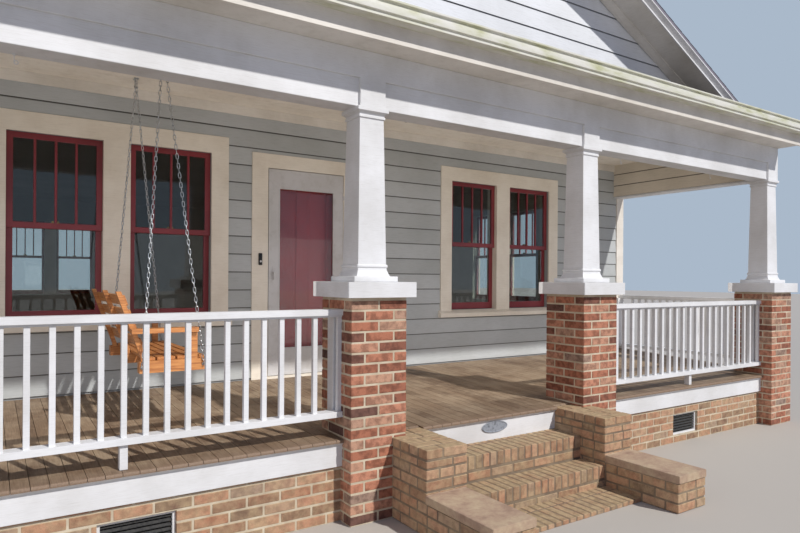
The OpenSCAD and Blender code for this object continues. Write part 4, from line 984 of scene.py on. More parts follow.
class BUNGALOW_OT_siding(bpy.types.Operator):
    """Nail the lap boards on the walls and gables"""

    bl_idname = "bungalow.siding"
    bl_label = "Nail the lap boards"

    def execute(self, context):
        self.sizes = context.scene.bungalow_boards
        reach = DOOR_HALF + CASING_COVER
        door = (DOOR_X - reach, DOOR_X + reach, 0.0, DOOR_TOP - 0.03)
        self.clad_long("front_lap_boards", 21, FIRST_LAP_Z, CEILING_Z - 0.07, FRONT_WINDOWS,
                       at(0, FRONT_Y, 0), [door])
        self.clad_long("rear_lap_boards", 22, SILL_Z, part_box("eave_boxes")[0].z + 0.02, REAR_WINDOWS,
                       at(0, REAR_Y, 0, 180))
        for side in (-1, 1):
            self.clad_side(side)
        self.clad_gable()
        self.clad_side_beams()
        return {"FINISHED"}

    def unit(self, high):
        """A board one metre long from the origin along X, thick at its lower edge, with its face to -Y."""
        thick = self.sizes.lap_thick
        board = block("board", (0, -thick, 0), (1, 0, high))
        move(board, (0, thick * 0.7, 0), lambda middle, _: middle.y < -thick * 0.9 and middle.z > high * 0.9)
        return shape(board, bpy.ops.mesh.bevel,
                     lambda middle, _: middle.y < -thick * 0.9 and middle.z < 0.001,
                     "EDGE", offset=0.002, segments=2)

    def clad(self, name, seed, low, high, spans, wall):
        """Boards on one wall, moved there by its matrix. What a row covers comes from spans(z0, z1)."""
        lap = self.sizes.lap
        whole = lap + UNDERLAP
        places = []
        z = low
        while z < high:
            for x0, x1, z0, z1 in spans(z, min(z + whole, high)):
                places.append(wall @ at(x0, 0, z0, 0, (x1 - x0, 1, (z1 - z0) / whole)))
            z += lap
        return lay(name, self.unit(whole), places, seed)

    def beside(self, x0, x1, holes, z0, z1):
        """What the holes leave of a board from x0 to x1 and from z0 to z1: whole beside them, cut to
        their height over and under them."""
        parts = [(x0, x1, z0, z1)]
        for a, b, low, high in holes:
            if z1 <= low or z0 >= high:
                continue
            left = []
            for c, d, z2, z3 in parts:
                left += [(c, min(d, a), z2, z3), (max(c, b), d, z2, z3)]
                left += [(max(c, a), min(d, b), high, z3), (max(c, a), min(d, b), z2, low)]
            parts = [p for p in left if p[1] - p[0] > 0.02 and p[3] - p[2] > 0.004]
        return parts

    def window_holes(self, middles):
        """The wall's holes behind the casings, which the boards stop short of."""
        reach = PAIR_WIDE / 2 + CASING_COVER
        low, high = WINDOW_Z - 0.06, WINDOW_Z + WINDOW_HIGH + CASING_COVER
        return [(m - reach, m + reach, low, high) for m in middles]

    def clad_long(self, name, seed, low, high, windows, wall, doors=()):
        """The front or the rear wall, between its corner boards."""
        holes = self.window_holes(windows) + list(doors)
        edge = HOUSE_HALF - CORNER_COVER
        boards = self.clad(name, seed, low, high,
                           lambda z0, z1: self.beside(-edge, edge, holes, z0, z1), wall)
        dress(boards, blue_grey_house_paint)

    def clad_side(self, side):
        """The side wall up to the roof. Local x runs along the wall, with its face to -Y before the turn."""
        holes = self.window_holes([side * y for y in SIDE_WINDOWS])

        def spans(z0, z1):
            ends = (FRONT_Y, REAR_Y - 0.13)
            if z0 >= BEAM_HIGH.z:
                run = (z0 - ROOF_LOW.z) / PITCH
                ends = (max(ROOF_LOW.y + run, BEAM_LOW.y), min(ROOF_HIGH.y - run, REAR_Y))
            return self.beside(*sorted(side * y for y in ends), holes, z0, z1)

        boards = self.clad("right_lap_boards" if side > 0 else "left_lap_boards", 23 + side,
                           FIRST_LAP_Z - self.sizes.lap, ROOF_HIGH.z - ROOF_THICK, spans,
                           at(side * HOUSE_HALF, 0, 0, side * 90))
        for way in (-1, 1):
            bisect(boards, (0, RIDGE_Y, ROOF_HIGH.z - ROOF_THICK - 0.001), (0, way * PITCH, 1))
        bisect(boards, (0, 0, SILL_Z), (0, 0, -1))
        dress(boards, blue_grey_house_paint)

    def clad_gable(self):
        """The front gable, whose boards end under its sloping boards and on the main roof."""
        low, top = GABLE_LAP_Z, GABLE_HIGH.z - ROOF_THICK
        half = (top - low) / PITCH
        boards = self.clad("gable_lap_boards", 26, low, top,
                           lambda z0, z1: [((z0 - low) / PITCH - half, half - (z0 - low) / PITCH, z0, z1)],
                           at(0, GABLE_WALL_Y, 0))
        for way in (-1, 1):
            bisect(boards, (0, 0, top - 0.001), (way * PITCH, 0, 1))
        dress(boards, sunlit_house_paint)

    def clad_side_beams(self):
        """Lap boards on the inner faces of the side beams."""
        inner = 2 * OUTER_X - BEAM_HIGH.x
        beam_half = 0.086
        long = FRONT_Y - PIER_MIDDLE_Y - beam_half
        places = []
        for side in (-1, 1):
            wall = at(side * inner, FRONT_Y if side > 0 else FRONT_Y - long, 0, -side * 90)
            places += [wall @ at(0, 0, BEAM_LAP_Z + k * BEAM_LAP, 0, (long, 1, 1)) for k in range(3)]
        boards = lay("side_beam_boards", self.unit(BEAM_LAP + UNDERLAP), places, 28)
        bisect(boards, (0, 0, CEILING_Z), (0, 0, 1))
        dress(boards, warm_white_lap_paint)


# Porch floor and ceiling

class BUNGALOW_OT_porch_boards(bpy.types.Operator):
    """Lay the porch floor and put up the porch ceiling"""

    bl_idname = "bungalow.porch_boards"
    bl_label = "Lay the porch boards"

    def execute(self, context):
        self.sizes = context.scene.bungalow_boards
        self.lay_floor()
        self.lay_ceiling()
        self.fit_coves()
        return {"FINISHED"}

    def floor_unit(self, start):
        """A floor board one metre wide from its front end to the wall, with a rounded front end."""
        low, high = FLOOR_LOW, FLOOR_HIGH
        board = block("board", (0, low.y, low.z), (1, high.y, low.z + FLOOR_THICK))
        above = low.z + FLOOR_THICK / 2
        move(board, (0, 0, high.z - low.z - FLOOR_THICK),
             lambda middle, _: middle.z > above and middle.y > high.y - 0.01)
        if start > low.y + 0.001:
            bisect(board, (0, start, 0), (0, -1, 0))
        return shape(board, bpy.ops.mesh.bevel,
                     lambda middle, _: middle.z > above and middle.y < start + 0.01,
                     "EDGE", offset=0.012, segments=3)

    def lay_floor(self):
        """Boards from the front edge to the wall, cut back where the piers and the steps stand."""
        low, high = FLOOR_LOW, FLOOR_HIGH
        edges = (0, STEP_HALF, INNER_X - PIER_HALF, INNER_X + PIER_HALF, OUTER_X - PIER_HALF, high.x)
        fronts = (low.y, PORCH_BASE_Y, PIER_HIGH.y, low.y, PIER_HIGH.y)
        pitch = self.sizes.floor_wide
        gap = self.sizes.groove
        count = math.ceil(high.x / pitch)
        boards = []
        for k, front in enumerate(sorted(set(fronts))):
            zones = [(z0, z1) for z0, z1, start in zip(edges, edges[1:], fronts) if start == front]
            places = []
            for i in range(-count, count):
                for side in (-1, 1):
                    for z0, z1 in zones:
                        a, b = sorted((side * z0, side * z1))
                        x0, x1 = max(a, i * pitch), min(b, (i + 1) * pitch)
                        if x1 - x0 > gap * 2:
                            places.append(at(x0 + gap / 2, 0, 0, 0, (x1 - x0 - gap, 1, 1)))
            boards.append(lay("floor_boards", self.floor_unit(front), places, 31 + k))
        floor = join("porch_floor_boards", boards)
        dress(floor, worn_floor_paint, stands_for=["porch_floor"])

    def lay_ceiling(self):
        low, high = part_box("porch_ceiling")
        count = round((high.y - low.y) / self.sizes.ceiling_wide)
        pitch = (high.y - low.y) / count
        board = block("board", (low.x, 0, low.z), (high.x, pitch, high.z))
        shape(board, bpy.ops.mesh.bevel, lambda middle, way: middle.z < low.z + 0.001 and abs(way.x) > 0.9,
              "EDGE", offset=0.004, segments=1)
        places = [at(0, low.y + i * pitch, 0) for i in range(count)]
        boards = lay("porch_ceiling_boards", board, places, 35)
        dress(boards, brightened_ceiling_paint, stands_for=["porch_ceiling"])

    def fit_coves(self):
        """Hollow mouldings under the floor's front edge, on the riser and the apron boards."""
        low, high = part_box("porch_apron")
        deep = 0.018
        cove = block("cove", (0, -deep, -deep), (1, 0, 0))
        shape(cove, bpy.ops.mesh.bevel, lambda middle, _: middle.y < -deep * 0.9 and middle.z < -deep * 0.9,
              "EDGE", offset=deep * 0.75, segments=4, profile=0.15)
        side = high.y - PIER_HIGH.y
        runs = ((-STEP_HALF, low.y, 0, 2 * STEP_HALF), (INNER_X + PIER_HALF, low.y, 0, BAY_WIDE),
                (PIER_HALF - OUTER_X, low.y, 0, BAY_WIDE), (high.x, PIER_HIGH.y, 90, side),
                (low.x, high.y, 270, side))
        places = [at(x, y, FLOOR_LOW.z, turn, (long, 1, 1)) for x, y, turn, long in runs]
        dress(lay("apron_coves", cove, places, 37), white_oil_paint)


# Roof

class BUNGALOW_OT_shingles(bpy.types.Operator):
    """Cover the roofs with boards and shingles"""

    bl_idname = "bungalow.shingles"
    bl_label = "Cover the roofs"

    def execute(self, context):
        self.sizes = context.scene.bungalow_roof
        low, high = ROOF_LOW, ROOF_HIGH
        eaves = [at(low.x, low.y, low.z), at(high.x, high.y, low.z, 180)]
        self.cover("main", "main_roof", eaves, RIDGE_Y - low.y, high.z - ROOF_THICK - low.z,
                   high.x - low.x, 41)
        self.cap_ridge("main_ridge_caps", (low.x, RIDGE_Y, high.z), high.x - low.x, 0)

        low, high = GABLE_LOW, GABLE_HIGH
        rise = GABLE_HALF * PITCH
        z = high.z - ROOF_THICK - rise
        eaves = [at(GABLE_HALF, low.y, z, 90), at(-GABLE_HALF, high.y, z, -90)]
        self.cover("gable", "front_gable_roof", eaves, GABLE_HALF, rise, high.y - low.y, 45,
                   ((0, RIDGE_Y, ROOF_HIGH.z - 0.03), (0, PITCH, -1)))
        self.cap_ridge("gable_ridge_caps", (0, low.y, high.z), high.y - low.y, 90)
        self.fold_gutters()
        self.trim_rakes()
        return {"FINISHED"}

    def cover(self, name, node, eaves, half, rise, length, seed, cut=None):
        """Boards and shingles on both slopes of a roof, cut off at a plane where it is given. Each eave's
        matrix puts the start of a slope in place, which runs along X and rises along Y."""
        decks, tabs = [], []
        for eave in eaves:
            deck = block("deck", (0, 0, 0), (length, half, DECK_THICK))
            move(deck, (0, 0, rise), lambda co, _: co.y > half / 2, "VERT")
            deck.data.transform(eave)
            decks.append(deck)
            slope = eave @ Matrix.Translation((0, 0, DECK_THICK)) @ Matrix.Rotation(SLOPE, 4, "X")
            tabs += [slope @ place for place in self.rows(length, math.hypot(half, rise) - 0.01)]
        deck = face_outwards(join(name + "_roof_deck", decks))
        shingles = lay(name + "_roof_shingles", self.tab(), tabs, seed)
        if cut:
            bisect(deck, *cut)
            bisect(shingles, *cut)
        dress(deck, tarred_roof_boards, stands_for=[node])
        dress(shingles, charcoal_asphalt_shingle)

    def tab(self):
        """One shingle tab, one metre wide from the origin, its lower edge raised on the row below."""
        s = self.sizes
        tab = block("tab", (0, 0, 0), (1, s.exposure * 1.3, s.thick))
        return move(tab, (0, 0, s.thick * 0.8), lambda middle, _: middle.y < 0.001, "FACE")

    def rows(self, width, length):
        """Places for the tabs on a slope: x along the eave, y up the slope, z off the deck."""
        s = self.sizes
        places = []
        for row in range(math.ceil(length / s.exposure)):
            y = row * s.exposure
            stretch = min(1.0, (length - y) / (s.exposure * 1.3))
            x = -s.tab / 2 * (row % 2)
            while x < width:
                x0, x1 = max(x, 0.0), min(x + s.tab - s.slot, width)
                if x1 - x0 > 0.02:
                    places.append(at(x0, y, 0, 0, (x1 - x0, stretch, 1)))
                x += s.tab
        return places

    def cap_ridge(self, name, start, length, turn):
        """Bent shingles over a ridge, each over the last."""
        s = self.sizes
        wide = 0.13
        long = s.exposure * 1.2
        cap = block("cap", (0, -wide, -s.thick), (long, wide, 0))
        shape(cap, bpy.ops.mesh.subdivide, lambda _, way: abs(way.z) > 0.9, number_cuts=1)
        move(cap, (0, 0, -wide * PITCH), lambda co, _: abs(co.y) > wide * 0.9, "VERT")
        count = int(length / s.exposure)
        pitch = (length - long) / (count - 1)
        tilt = Matrix.Rotation(math.atan(s.thick / s.exposure), 4, "Y")
        base = at(*start, turn)
        places = [base @ at(i * pitch, 0, -0.0005) @ tilt for i in range(count)]
        dress(lay(name, cap, places, 43), charcoal_asphalt_shingle)

    def draw_strip(self, name, x0, x1, profile, fall=0.0):
        """A strip between two places on X with this profile in Y and Z, which falls along X."""
        alone(None)
        bpy.ops.mesh.primitive_plane_add(size=1)
        strip = settle(name)
        for vertex in strip.data.vertices:
            x = x0 if vertex.co.x < 0 else x1
            y, z = profile[0 if vertex.co.y < 0 else 1]
            vertex.co = (x, y, z - fall * x)
        last = Vector(profile[1])
        pick(strip, lambda middle, _: (Vector((middle.y, middle.z + fall * middle.x)) - last).length < 1e-4,
             "EDGE")
        for (y0, z0), (y1, z1) in zip(profile[1:], profile[2:]):
            extrude((0, y1 - y0, z1 - z0))
        return done(strip)

    def trim_rakes(self):
        """The crown moulding on the rakes of the front gable, and the bed moulding under their boards.
        Both profiles have their heights below the top of the roof."""
        face = GABLE_LOW.y
        board = face + 0.0165
        crown = [(board, -0.064), (board, -0.152), (board - 0.01, -0.152), (board - 0.01, -0.136),
                 (board - 0.001, -0.134), (board - 0.001, -0.12), (face - 0.006, -0.096),
                 (face - 0.015, -0.083), (face - 0.018, -0.083), (face - 0.018, -0.071), (board, -0.064)]
        wall = GABLE_WALL_Y - 0.0155
        bed = [(wall, -0.149), (wall, -0.18), (wall - 0.012, -0.18), (wall - 0.03, -0.176),
               (wall - 0.062, -0.162), (wall - 0.08, -0.157), (wall - 0.08, -0.149), (wall, -0.149)]
        # Each strip is drawn past the main roof and cut off there
        reach = 3.6
        for name, profile, finish in (("rake_crown", crown, white_oil_paint),
                                      ("rake_bed", bed, eave_oil_paint)):
            raised = [(y, z + GABLE_HIGH.z) for y, z in profile]
            strip = self.draw_strip(name, 0.0, reach, raised, PITCH)
            bisect(strip, (0, RIDGE_Y, ROOF_HIGH.z - 0.001), (0, PITCH, -1), fill=False)
            modify(strip, "WELD", merge_threshold=0.0002)
            modify(strip, "MIRROR", use_axis=(True, False, False))
            dress(face_outwards(strip), finish)

    def fold_gutters(self):
        """Gutters folded from sheet, with a hollow front and a lip that is bent back at the top."""
        low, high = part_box("gutters")
        profile = [(0, 0.053), (0, 0), (-0.087, 0), (-0.087, 0.012), (-0.082, 0.015), (-0.082, 0.022),
                   (-0.098, 0.027), (-0.1, 0.05), (-0.098, 0.073), (-0.089, 0.08), (-0.089, 0.09),
                   (-0.107, 0.095), (-0.107, 0.105), (-0.095, 0.105)]
        gutter = self.draw_strip("gutter", low.x, high.x, profile)
        modify(gutter, "SOLIDIFY", thickness=0.002, offset=0)
        front, rear = (corner.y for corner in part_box("eave_boxes"))
        places = [at(0, front, low.z), at(0, rear, low.z, 180)]
        gutters = smooth(lay("folded_gutters", gutter, places, 47))
        dress(gutters, stained_gutter_enamel, stands_for=["gutters"])


# Windows and doors

class BUNGALOW_OT_windows(bpy.types.Operator):
    """Fit the bars and locks of the window sashes"""

    bl_idname = "bungalow.windows"
    bl_label = "Fit the window bars"

    def execute(self, context):
        wide = context.scene.bungalow_fittings.bar_wide
        high = WINDOW_Z + WINDOW_HIGH - SASH_FRAME
        half_deep = 0.014
        bar = block("bar", (-wide / 2, -half_deep, MEETING_TOP), (wide / 2, half_deep, high))
        shape(bar, bpy.ops.mesh.bevel, lambda _, way: abs(way.z) > 0.9, "EDGE", offset=0.006, segments=2)
        lock = block("lock", (-0.032, -0.012, 0), (0.032, 0.012, 0.008))
        soften(step_face(lock, (0, 0, 1), 0.006, (0, 0, 0.012)), 0.002)

        # Depths behind the wall's face of the upper panes' middle and of the meeting rails' tops
        glass_y, lock_y = 0.0375, 0.073
        glass_wide = SASH_WIDE - 2 * SASH_FRAME
        bars, locks = [], []
        for wall in self.walls():
            for side in (-1, 1):
                middle = side * (SASH_WIDE + POST_WIDE) / 2
                bars += [wall @ at(middle + k * glass_wide / 4, glass_y, 0) for k in (-1, 0, 1)]
                locks.append(wall @ at(middle, lock_y, MEETING_TOP))
        dress(lay("window_bars", bar, bars, 51), dark_red_gloss_paint)
        dress(lay("sash_locks", lock, locks, 53), lacquered_brass)
        return {"FINISHED"}

    def walls(self):
        """The matrix of each pair of sashes, seen from outside with the wall's face at y 0."""
        spots = [at(x, FRONT_Y, 0) for x in FRONT_WINDOWS]
        spots += [at(x, REAR_Y, 0, 180) for x in REAR_WINDOWS]
        spots += [at(side * HOUSE_HALF, y, 0, side * 90) for side in (-1, 1) for y in SIDE_WINDOWS]
        return spots


class BUNGALOW_OT_fittings(bpy.types.Operator):
    """Make the chains, grilles, plaque, doorbell and hooks"""

    bl_idname = "bungalow.fittings"
    bl_label = "Make the fittings"

    def execute(self, context):
        self.sizes = context.scene.bungalow_fittings
        self.hang_chains()
        self.fit_grilles()
        self.fit_plaque()
        self.fit_doorbell()
        self.fit_beam_hooks()
        self.fit_lamp()
        self.fit_bead()
        self.fit_column_feet()
        return {"FINISHED"}

    def link(self):
        """One chain link along Z, its middle at the origin."""
        s = self.sizes
        radius = s.chain_wire * 1.45
        link = ring("link", (0, 0, 0), radius, s.chain_wire, (0, 1, 0), 12, 6)
        stretch = (s.chain_pitch - 2 * radius + s.chain_wire) / 2
        for way in (-1, 1):
            move(link, (0, 0, way * stretch), lambda co, _: co.z * way > 0.0001, "VERT")
        return smooth(link, 80)

    def eye(self, end, out):
        """The eye that holds a chain's end, with its shank and washer towards the seat's bearer."""
        shank = end + Vector((0, out * 0.0105, 0))
        washer = end + Vector((0, out * 0.0128, 0))
        return [ring("eye", end, 0.0075, 0.005, (1, 0, 0)),
                disc("shank", shank, 0.0035, 0.007, (0, 1, 0), 12),
                disc("washer", washer, 0.011, 0.0024, (0, 1, 0), 24)]

    def hang_chains(self):
        """The swing's four chains, link by link, along the middle lines of their solids."""
        # The first links of two chains hang side by side in the lower half of the hook's ring
        beside, below = 0.004, 0.012
        places, eyes = [], []
        for hook_y, foot_y in zip(HOOKS_Y, CHAIN_FEET_Y):
            for side, foot_x in zip((-1, 1), CHAIN_FEET_X):
                top = Vector((SWING_X + side * beside, hook_y, HINGE_Z - below))
                end = Vector((foot_x, foot_y, CHAIN_FOOT_Z))
                eyes += self.eye(end, math.copysign(1, hook_y - foot_y))
                way = end - top
                turn = (-way).to_track_quat("Z", "Y").to_matrix().to_4x4()
                count = round(way.length / self.sizes.chain_pitch)
                for i in range(count):
                    spot = top + way * ((i + 0.5) / count)
                    quarter = Matrix.Rotation(math.radians(90 * (i % 2) + 20), 4, "Z")
                    places.append(Matrix.Translation(spot) @ turn @ quarter)
        chains = lay("swing_chain_links", self.link(), places, 61)
        dress(chains, zinc_plated_steel, "porch_swing", ["swing_chains"])
        rings = [ring("hook_ring", (SWING_X, y, HINGE_Z - 0.003), 0.0125, 0.008, (0, 1, 0)) for y in HOOKS_Y]
        for name, parts in (("hook_rings", rings), ("chain_eyes", eyes)):
            dress(smooth(join(name, parts)), zinc_plated_steel, "porch_swing")

    def hollow(self, piece, border, middle):
        """Opens a flat block through its front and back, and leaves a border round the hole."""
        low, high = (Vector(c) for c in (piece.bound_box[0], piece.bound_box[6]))
        pick(piece, lambda _, way: abs(way.y) > 0.9)
        bpy.ops.mesh.inset(thickness=border)
        bpy.ops.mesh.delete(type="FACE")
        done(piece)
        reach = (high - low) / 2 - Vector((border / 2, 0, border / 2))
        return shape(piece, bpy.ops.mesh.bridge_edge_loops,
                     lambda co, _: abs(co.x - middle.x) < reach.x and abs(co.z - middle.z) < reach.z, "EDGE")

    def fit_grilles(self):
        """Cast grilles in the vent holes: a frame with slanted bars, and upright bars behind them."""
        half, high, deep = VENT_WIDE / 2, VENT_HIGH, 0.03
        border = block("border", (-half, 0, 0), (half, deep, high))
        soften(self.hollow(border, 0.018, Vector((0, 0, high / 2))), 0.002)
        bars = []
        slanted, lowest, pitch, slant = 7, 0.022, 0.026, 0.012
        upright = 10
        thin, reach = 0.002, 0.01
        for i in range(slanted):
            z = lowest + i * pitch
            bar = block("bar", (-half + reach, deep * 0.3, z - thin), (half - reach, deep * 0.75, z + thin))
            bars.append(move(bar, (0, 0, -slant), lambda _, way: way.y < -0.9, "FACE"))
        for i in range(1, upright):
            x = -half + i * VENT_WIDE / upright
            bar = block("bar", (x - thin, deep * 0.75, reach), (x + thin, deep * 0.95, high - reach))
            bars.append(soften(bar, 0.0005))
        start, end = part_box("vent_grilles")
        spots = [at(side * VENT_X, start.y, start.z) for side in (-1, 1)]
        spots += [at(side * end.x, y, start.z, side * 90) for side in (-1, 1) for y in SIDE_WINDOWS]
        frames = lay("vent_borders", border, spots, 63)
        dress(frames, white_oil_paint, stands_for=["vent_grilles"])
        dress(lay("vent_bars", join("bars", bars), spots, 65), black_painted_iron)

    def fit_plaque(self):
        """The oval plaque with a raised rim round its bare field."""
        low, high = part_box("oval_plaque")
        half = (high - low) / 2
        plate = disc("plaque", (0, 0, 0), 1, 1, (0, -1, 0), 48)
        plate.data.transform(Matrix.Translation((low + high) / 2)
                             @ Matrix.Diagonal((half.x, 2 * half.y, half.z, 1)))
        soften(step_face(plate, (0, -1, 0), 0.007, (0, 0.003, 0)), 0.0012)
        dress(smooth(plate), grey_plaque_enamel, stands_for=["oval_plaque"])

    def fit_doorbell(self):
        low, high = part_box("doorbell")
        body = soften(block("doorbell_body", low, high), 0.005, 3)
        dress(smooth(body), moulded_black_plastic, stands_for=["doorbell"])
        middle = (low + high) / 2
        button = disc("button", (middle.x, low.y + 0.001, middle.z - 0.02), 0.009, 0.004, (0, -1, 0), 24)
        step_face(button, (0, -1, 0), 0.002, (0, 0.001, 0))
        dress(smooth(button), white_oil_paint)

    def fit_beam_hooks(self):
        """Small white hooks under the inner edge of the front beam."""
        shank = disc("shank", (0, 0, -0.02), 0.0022, 0.04, (0, 0, 1), 10)
        plate = disc("plate", (0, 0, -0.002), 0.009, 0.004, (0, 0, 1), 16)
        bend = ring("bend", (0.009, 0, -0.04), 0.009, 0.0044, (0, 1, 0), 16, 8)
        unit = smooth(join("hook", [shank, plate, bend]))
        hooks = [at(x, PIER_MIDDLE_Y + 0.07, BEAM_LOW.z) for x in (-3.06, 1.67, 3.12)]
        dress(lay("beam_hooks", unit, hooks, 67), white_oil_paint)

    def fit_lamp(self):
        """A bare bulb in a round holder on the porch ceiling."""
        x, y, z = 0.05, -3.87, CEILING_Z
        holder = disc("lamp_holder", (x, y, z - 0.012), 0.055, 0.024, (0, 0, 1))
        soften(step_face(holder, (0, 0, -1), 0.026, (0, 0, -0.022)), 0.004, 2)
        dress(smooth(holder), warm_white_oil_paint)
        alone(None)
        bpy.ops.mesh.primitive_uv_sphere_add(segments=24, ring_count=16, radius=0.03,
                                             location=(x, y, z - 0.085))
        bulb = settle("lamp_bulb")
        shape(bulb, bpy.ops.transform.resize, lambda co, _: co.z > z - 0.075, "VERT",
              value=(0.62, 0.62, 1.6), center_override=(x, y, z - 0.075))
        dress(smooth(bulb, 80), frosted_bulb_glass)

    def fit_bead(self):
        """The bead that holds the storm door's pane."""
        low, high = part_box("storm_door_glass")
        bead = block("bead", (low.x, low.y - 0.014, low.z), (high.x, low.y - 0.0005, high.z))
        self.hollow(bead, 0.014, (low + high) / 2)
        dress(soften(bead, 0.002), pale_grey_baked_enamel, "storm_door")

    def fit_column_feet(self):
        """The square plinth under each column's flare and the band above it."""
        low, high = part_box("porch_columns")
        half = (high.y - low.y) / 2 + 0.0015
        plinth = soften(block("plinth", (-half, -half, 0.0005), (half, half, 0.036)), 0.005, 3)
        band = soften(block("band", (-0.115, -0.115, 0.092), (0.115, 0.115, 0.114)), 0.007, 3)
        spots = [at(x, (low.y + high.y) / 2, low.z) for x in PIER_PLACES]
        feet = lay("column_feet", join("foot", [plinth, band]), spots, 69)
        dress(smooth(feet), white_oil_paint)


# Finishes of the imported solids, with the nodes that each one covers
CAD_FINISHES = {
    lime_mortar: "house_foundation porch_foundation brick_piers",
    soiled_mortar_and_coat: "brick_steps step_cheeks",
    white_oil_paint: "pier_caps porch_columns porch_apron porch_railings porch_beam porch_frieze",
    painted_wall_and_plaster:
        "front_wall_left front_wall_right front_wall_over_door left_wall right_wall rear_wall",
    waxed_room_boards: "house_floor",
    room_plaster: "house_ceiling",
    eave_oil_paint: "wall_trim eave_boxes rake_boards",
    warm_white_oil_paint: "window_casings door_frame",
    dark_red_gloss_paint: "window_sashes",
    drawn_window_glass: "window_glass storm_door_glass",
    pale_grey_baked_enamel: "storm_door storm_door_handle",
    deep_red_gloss_paint: "entry_door",
    lacquered_brass: "entry_door_knob",
    sunlit_house_paint: "gable_walls",
    zinc_plated_steel: "ceiling_hooks",
    oiled_swing_frame: "swing_frame",
    oiled_swing_slats: "swing_seat swing_back",
}
# Widths of their eased edges in metres
SOFT_EDGES = {
    0.002: "porch_columns door_frame porch_apron wall_trim entry_door",
    0.003: "porch_railings window_casings window_sashes storm_door porch_frieze swing_seat swing_back",
    0.004: "porch_beam swing_frame",
    0.006: "pier_caps",
    0.012: "step_cheeks",
}


class BUNGALOW_OT_finishes(bpy.types.Operator):
    """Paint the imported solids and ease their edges"""

    bl_idname = "bungalow.finishes"
    bl_label = "Paint the solids"

    def execute(self, context):
        for finish, names in CAD_FINISHES.items():
            for name in names.split():
                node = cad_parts[name]
                node.data.materials.clear()
                node.data.materials.append(finish_of(finish))
        for width, names in SOFT_EDGES.items():
            for name in names.split():
                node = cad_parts[name]
                weld = node.modifiers.new("Weld", "WELD")
                weld.merge_threshold = 0.00005
                edge = node.modifiers.new("Edge", "BEVEL")
                edge.width = width
                edge.segments = 2
                edge.limit_method = "ANGLE"
        return {"FINISHED"}


# Stage

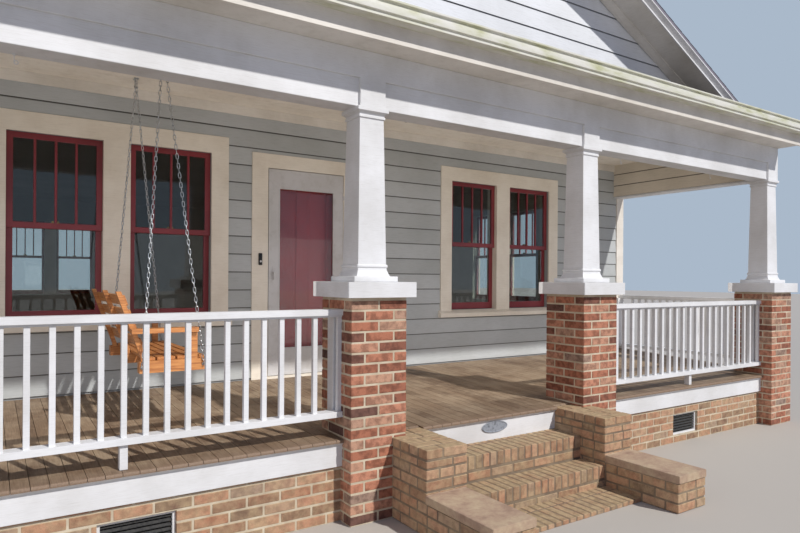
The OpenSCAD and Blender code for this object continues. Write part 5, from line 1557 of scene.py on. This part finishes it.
class BUNGALOW_OT_stage(bpy.types.Operator):
    """Set the floor, the lights and the camera"""

    bl_idname = "bungalow.stage"
    bl_label = "Set the stage"

    def execute(self, context):
        self.set_floor()
        self.set_world(context.scene)
        # The sun stands to the right of the porch, so that fronts are bright and left faces dim
        self.set_light(context.scene, "key_light", "SUN", (1.0, 0.97, 0.93), (-0.28, 0.75, -0.72),
                       mirrored=True, energy=3.45, angle=math.radians(1.5))
        # A wide soft light between the columns lifts the shade under the porch roof
        self.set_light(context.scene, "porch_fill", "AREA", (1.0, 0.95, 0.89), (0.0, 1.0, 0.04),
                       (0.0, -4.85, 1.4), shape="RECTANGLE", size=7.9, size_y=1.3, energy=29)
        # A weak warm light from the left, as from a sunlit garden, lifts the left faces
        self.set_light(context.scene, "side_fill", "SUN", (1.0, 0.94, 0.86), (1.0, 0.2, -0.1),
                       energy=0.95, angle=math.radians(60))
        self.set_camera(context.scene)
        context.scene.view_settings.view_transform = "Standard"
        return {"FINISHED"}

    def set_floor(self):
        alone(None)
        bpy.ops.mesh.primitive_plane_add(size=160, location=(0, 0, -0.001))
        floor = settle("studio_floor")
        material = bpy.data.materials.new("studio_floor")
        material.use_nodes = True
        shader = material.node_tree.nodes["Principled BSDF"]
        wire(shader, {"Base Color": linear("b8b3ab"), "Roughness": 0.9})
        floor.data.materials.append(material)

    def set_world(self, scene):
        """A blue fill from all round, and the pale background that the camera and the glass see."""
        world = bpy.data.worlds.new("studio")
        scene.world = world
        world.use_nodes = True
        tree = world.node_tree
        tree.nodes.clear()
        path = add(tree, "LightPath")
        seen = add(tree, "Math", {0: path.outputs["Is Glossy Ray"], 1: path.outputs["Is Transmission Ray"]},
                   operation="MAXIMUM")
        seen = add(tree, "Math", {0: path.outputs["Is Camera Ray"], 1: seen}, operation="MAXIMUM")
        fill = add(tree, "Background", {"Color": linear("b0c6ff"), "Strength": 0.29})
        back = add(tree, "Background", {"Color": linear("aab9ca"), "Strength": 1.0})
        both = add(tree, "MixShader", {0: seen, 1: fill, 2: back})
        add(tree, "OutputWorld", {"Surface": both})

    def set_light(self, scene, name, kind, colour, facing, place=(0, 0, 0), mirrored=False, **settings):
        """One light that shines in the direction facing."""
        light = bpy.data.lights.new(name, kind)
        light.color = colour
        for key, value in settings.items():
            setattr(light, key, value)
        lamp = bpy.data.objects.new(name, light)
        scene.collection.objects.link(lamp)
        lamp.location = place
        lamp.rotation_euler = Vector(facing).to_track_quat("-Z", "Y").to_euler()
        lamp.visible_glossy = mirrored

    def set_camera(self, scene):
        """The camera stands before the left end of the porch and looks level towards its right end."""
        image_wide = 800
        focal_px = 630
        right_px, up_px = -5, 12.5
        lens = bpy.data.cameras.new("camera")
        lens.sensor_width = 36.0
        lens.lens = focal_px / image_wide * lens.sensor_width
        lens.shift_x = right_px / image_wide
        lens.shift_y = up_px / image_wide
        camera = bpy.data.objects.new("camera", lens)
        scene.collection.objects.link(camera)
        camera.location = (-3.17, -8.71, 1.55)
        camera.rotation_euler = (math.radians(90), math.radians(-0.35), math.radians(-33.6))
        scene.camera = camera


OPERATORS = [BUNGALOW_OT_stage, BUNGALOW_OT_finishes, BUNGALOW_OT_bricks, BUNGALOW_OT_siding,
             BUNGALOW_OT_porch_boards, BUNGALOW_OT_shingles, BUNGALOW_OT_windows, BUNGALOW_OT_fittings]
GROUPS = {"bungalow_bricks": BrickSizes, "bungalow_boards": BoardSizes, "bungalow_roof": RoofSizes,
          "bungalow_fittings": FittingSizes}


class BUNGALOW_PT_panel(bpy.types.Panel):
    """The sizes and steps of the bungalow's finish"""

    bl_idname = "BUNGALOW_PT_panel"
    bl_label = "Bungalow"
    bl_space_type = "VIEW_3D"
    bl_region_type = "UI"
    bl_category = "Bungalow"

    def draw(self, context):
        for key, group in GROUPS.items():
            box = self.layout.box()
            for name in group.__annotations__:
                box.prop(getattr(context.scene, key), name)
        for operator in OPERATORS:
            self.layout.operator(operator.bl_idname)


def register():
    for made in (*GROUPS.values(), *OPERATORS, BUNGALOW_PT_panel):
        bpy.utils.register_class(made)
    for key, group in GROUPS.items():
        setattr(bpy.types.Scene, key, bpy.props.PointerProperty(type=group))


def unregister():
    for key in GROUPS:
        delattr(bpy.types.Scene, key)
    for made in (BUNGALOW_PT_panel, *reversed(OPERATORS), *GROUPS.values()):
        bpy.utils.unregister_class(made)


def main():
    """Makes the whole scene."""
    register()
    for operator in OPERATORS:
        group, name = operator.bl_idname.split(".")
        getattr(getattr(bpy.ops, group), name)()


if __name__ == "__main__":
    main()
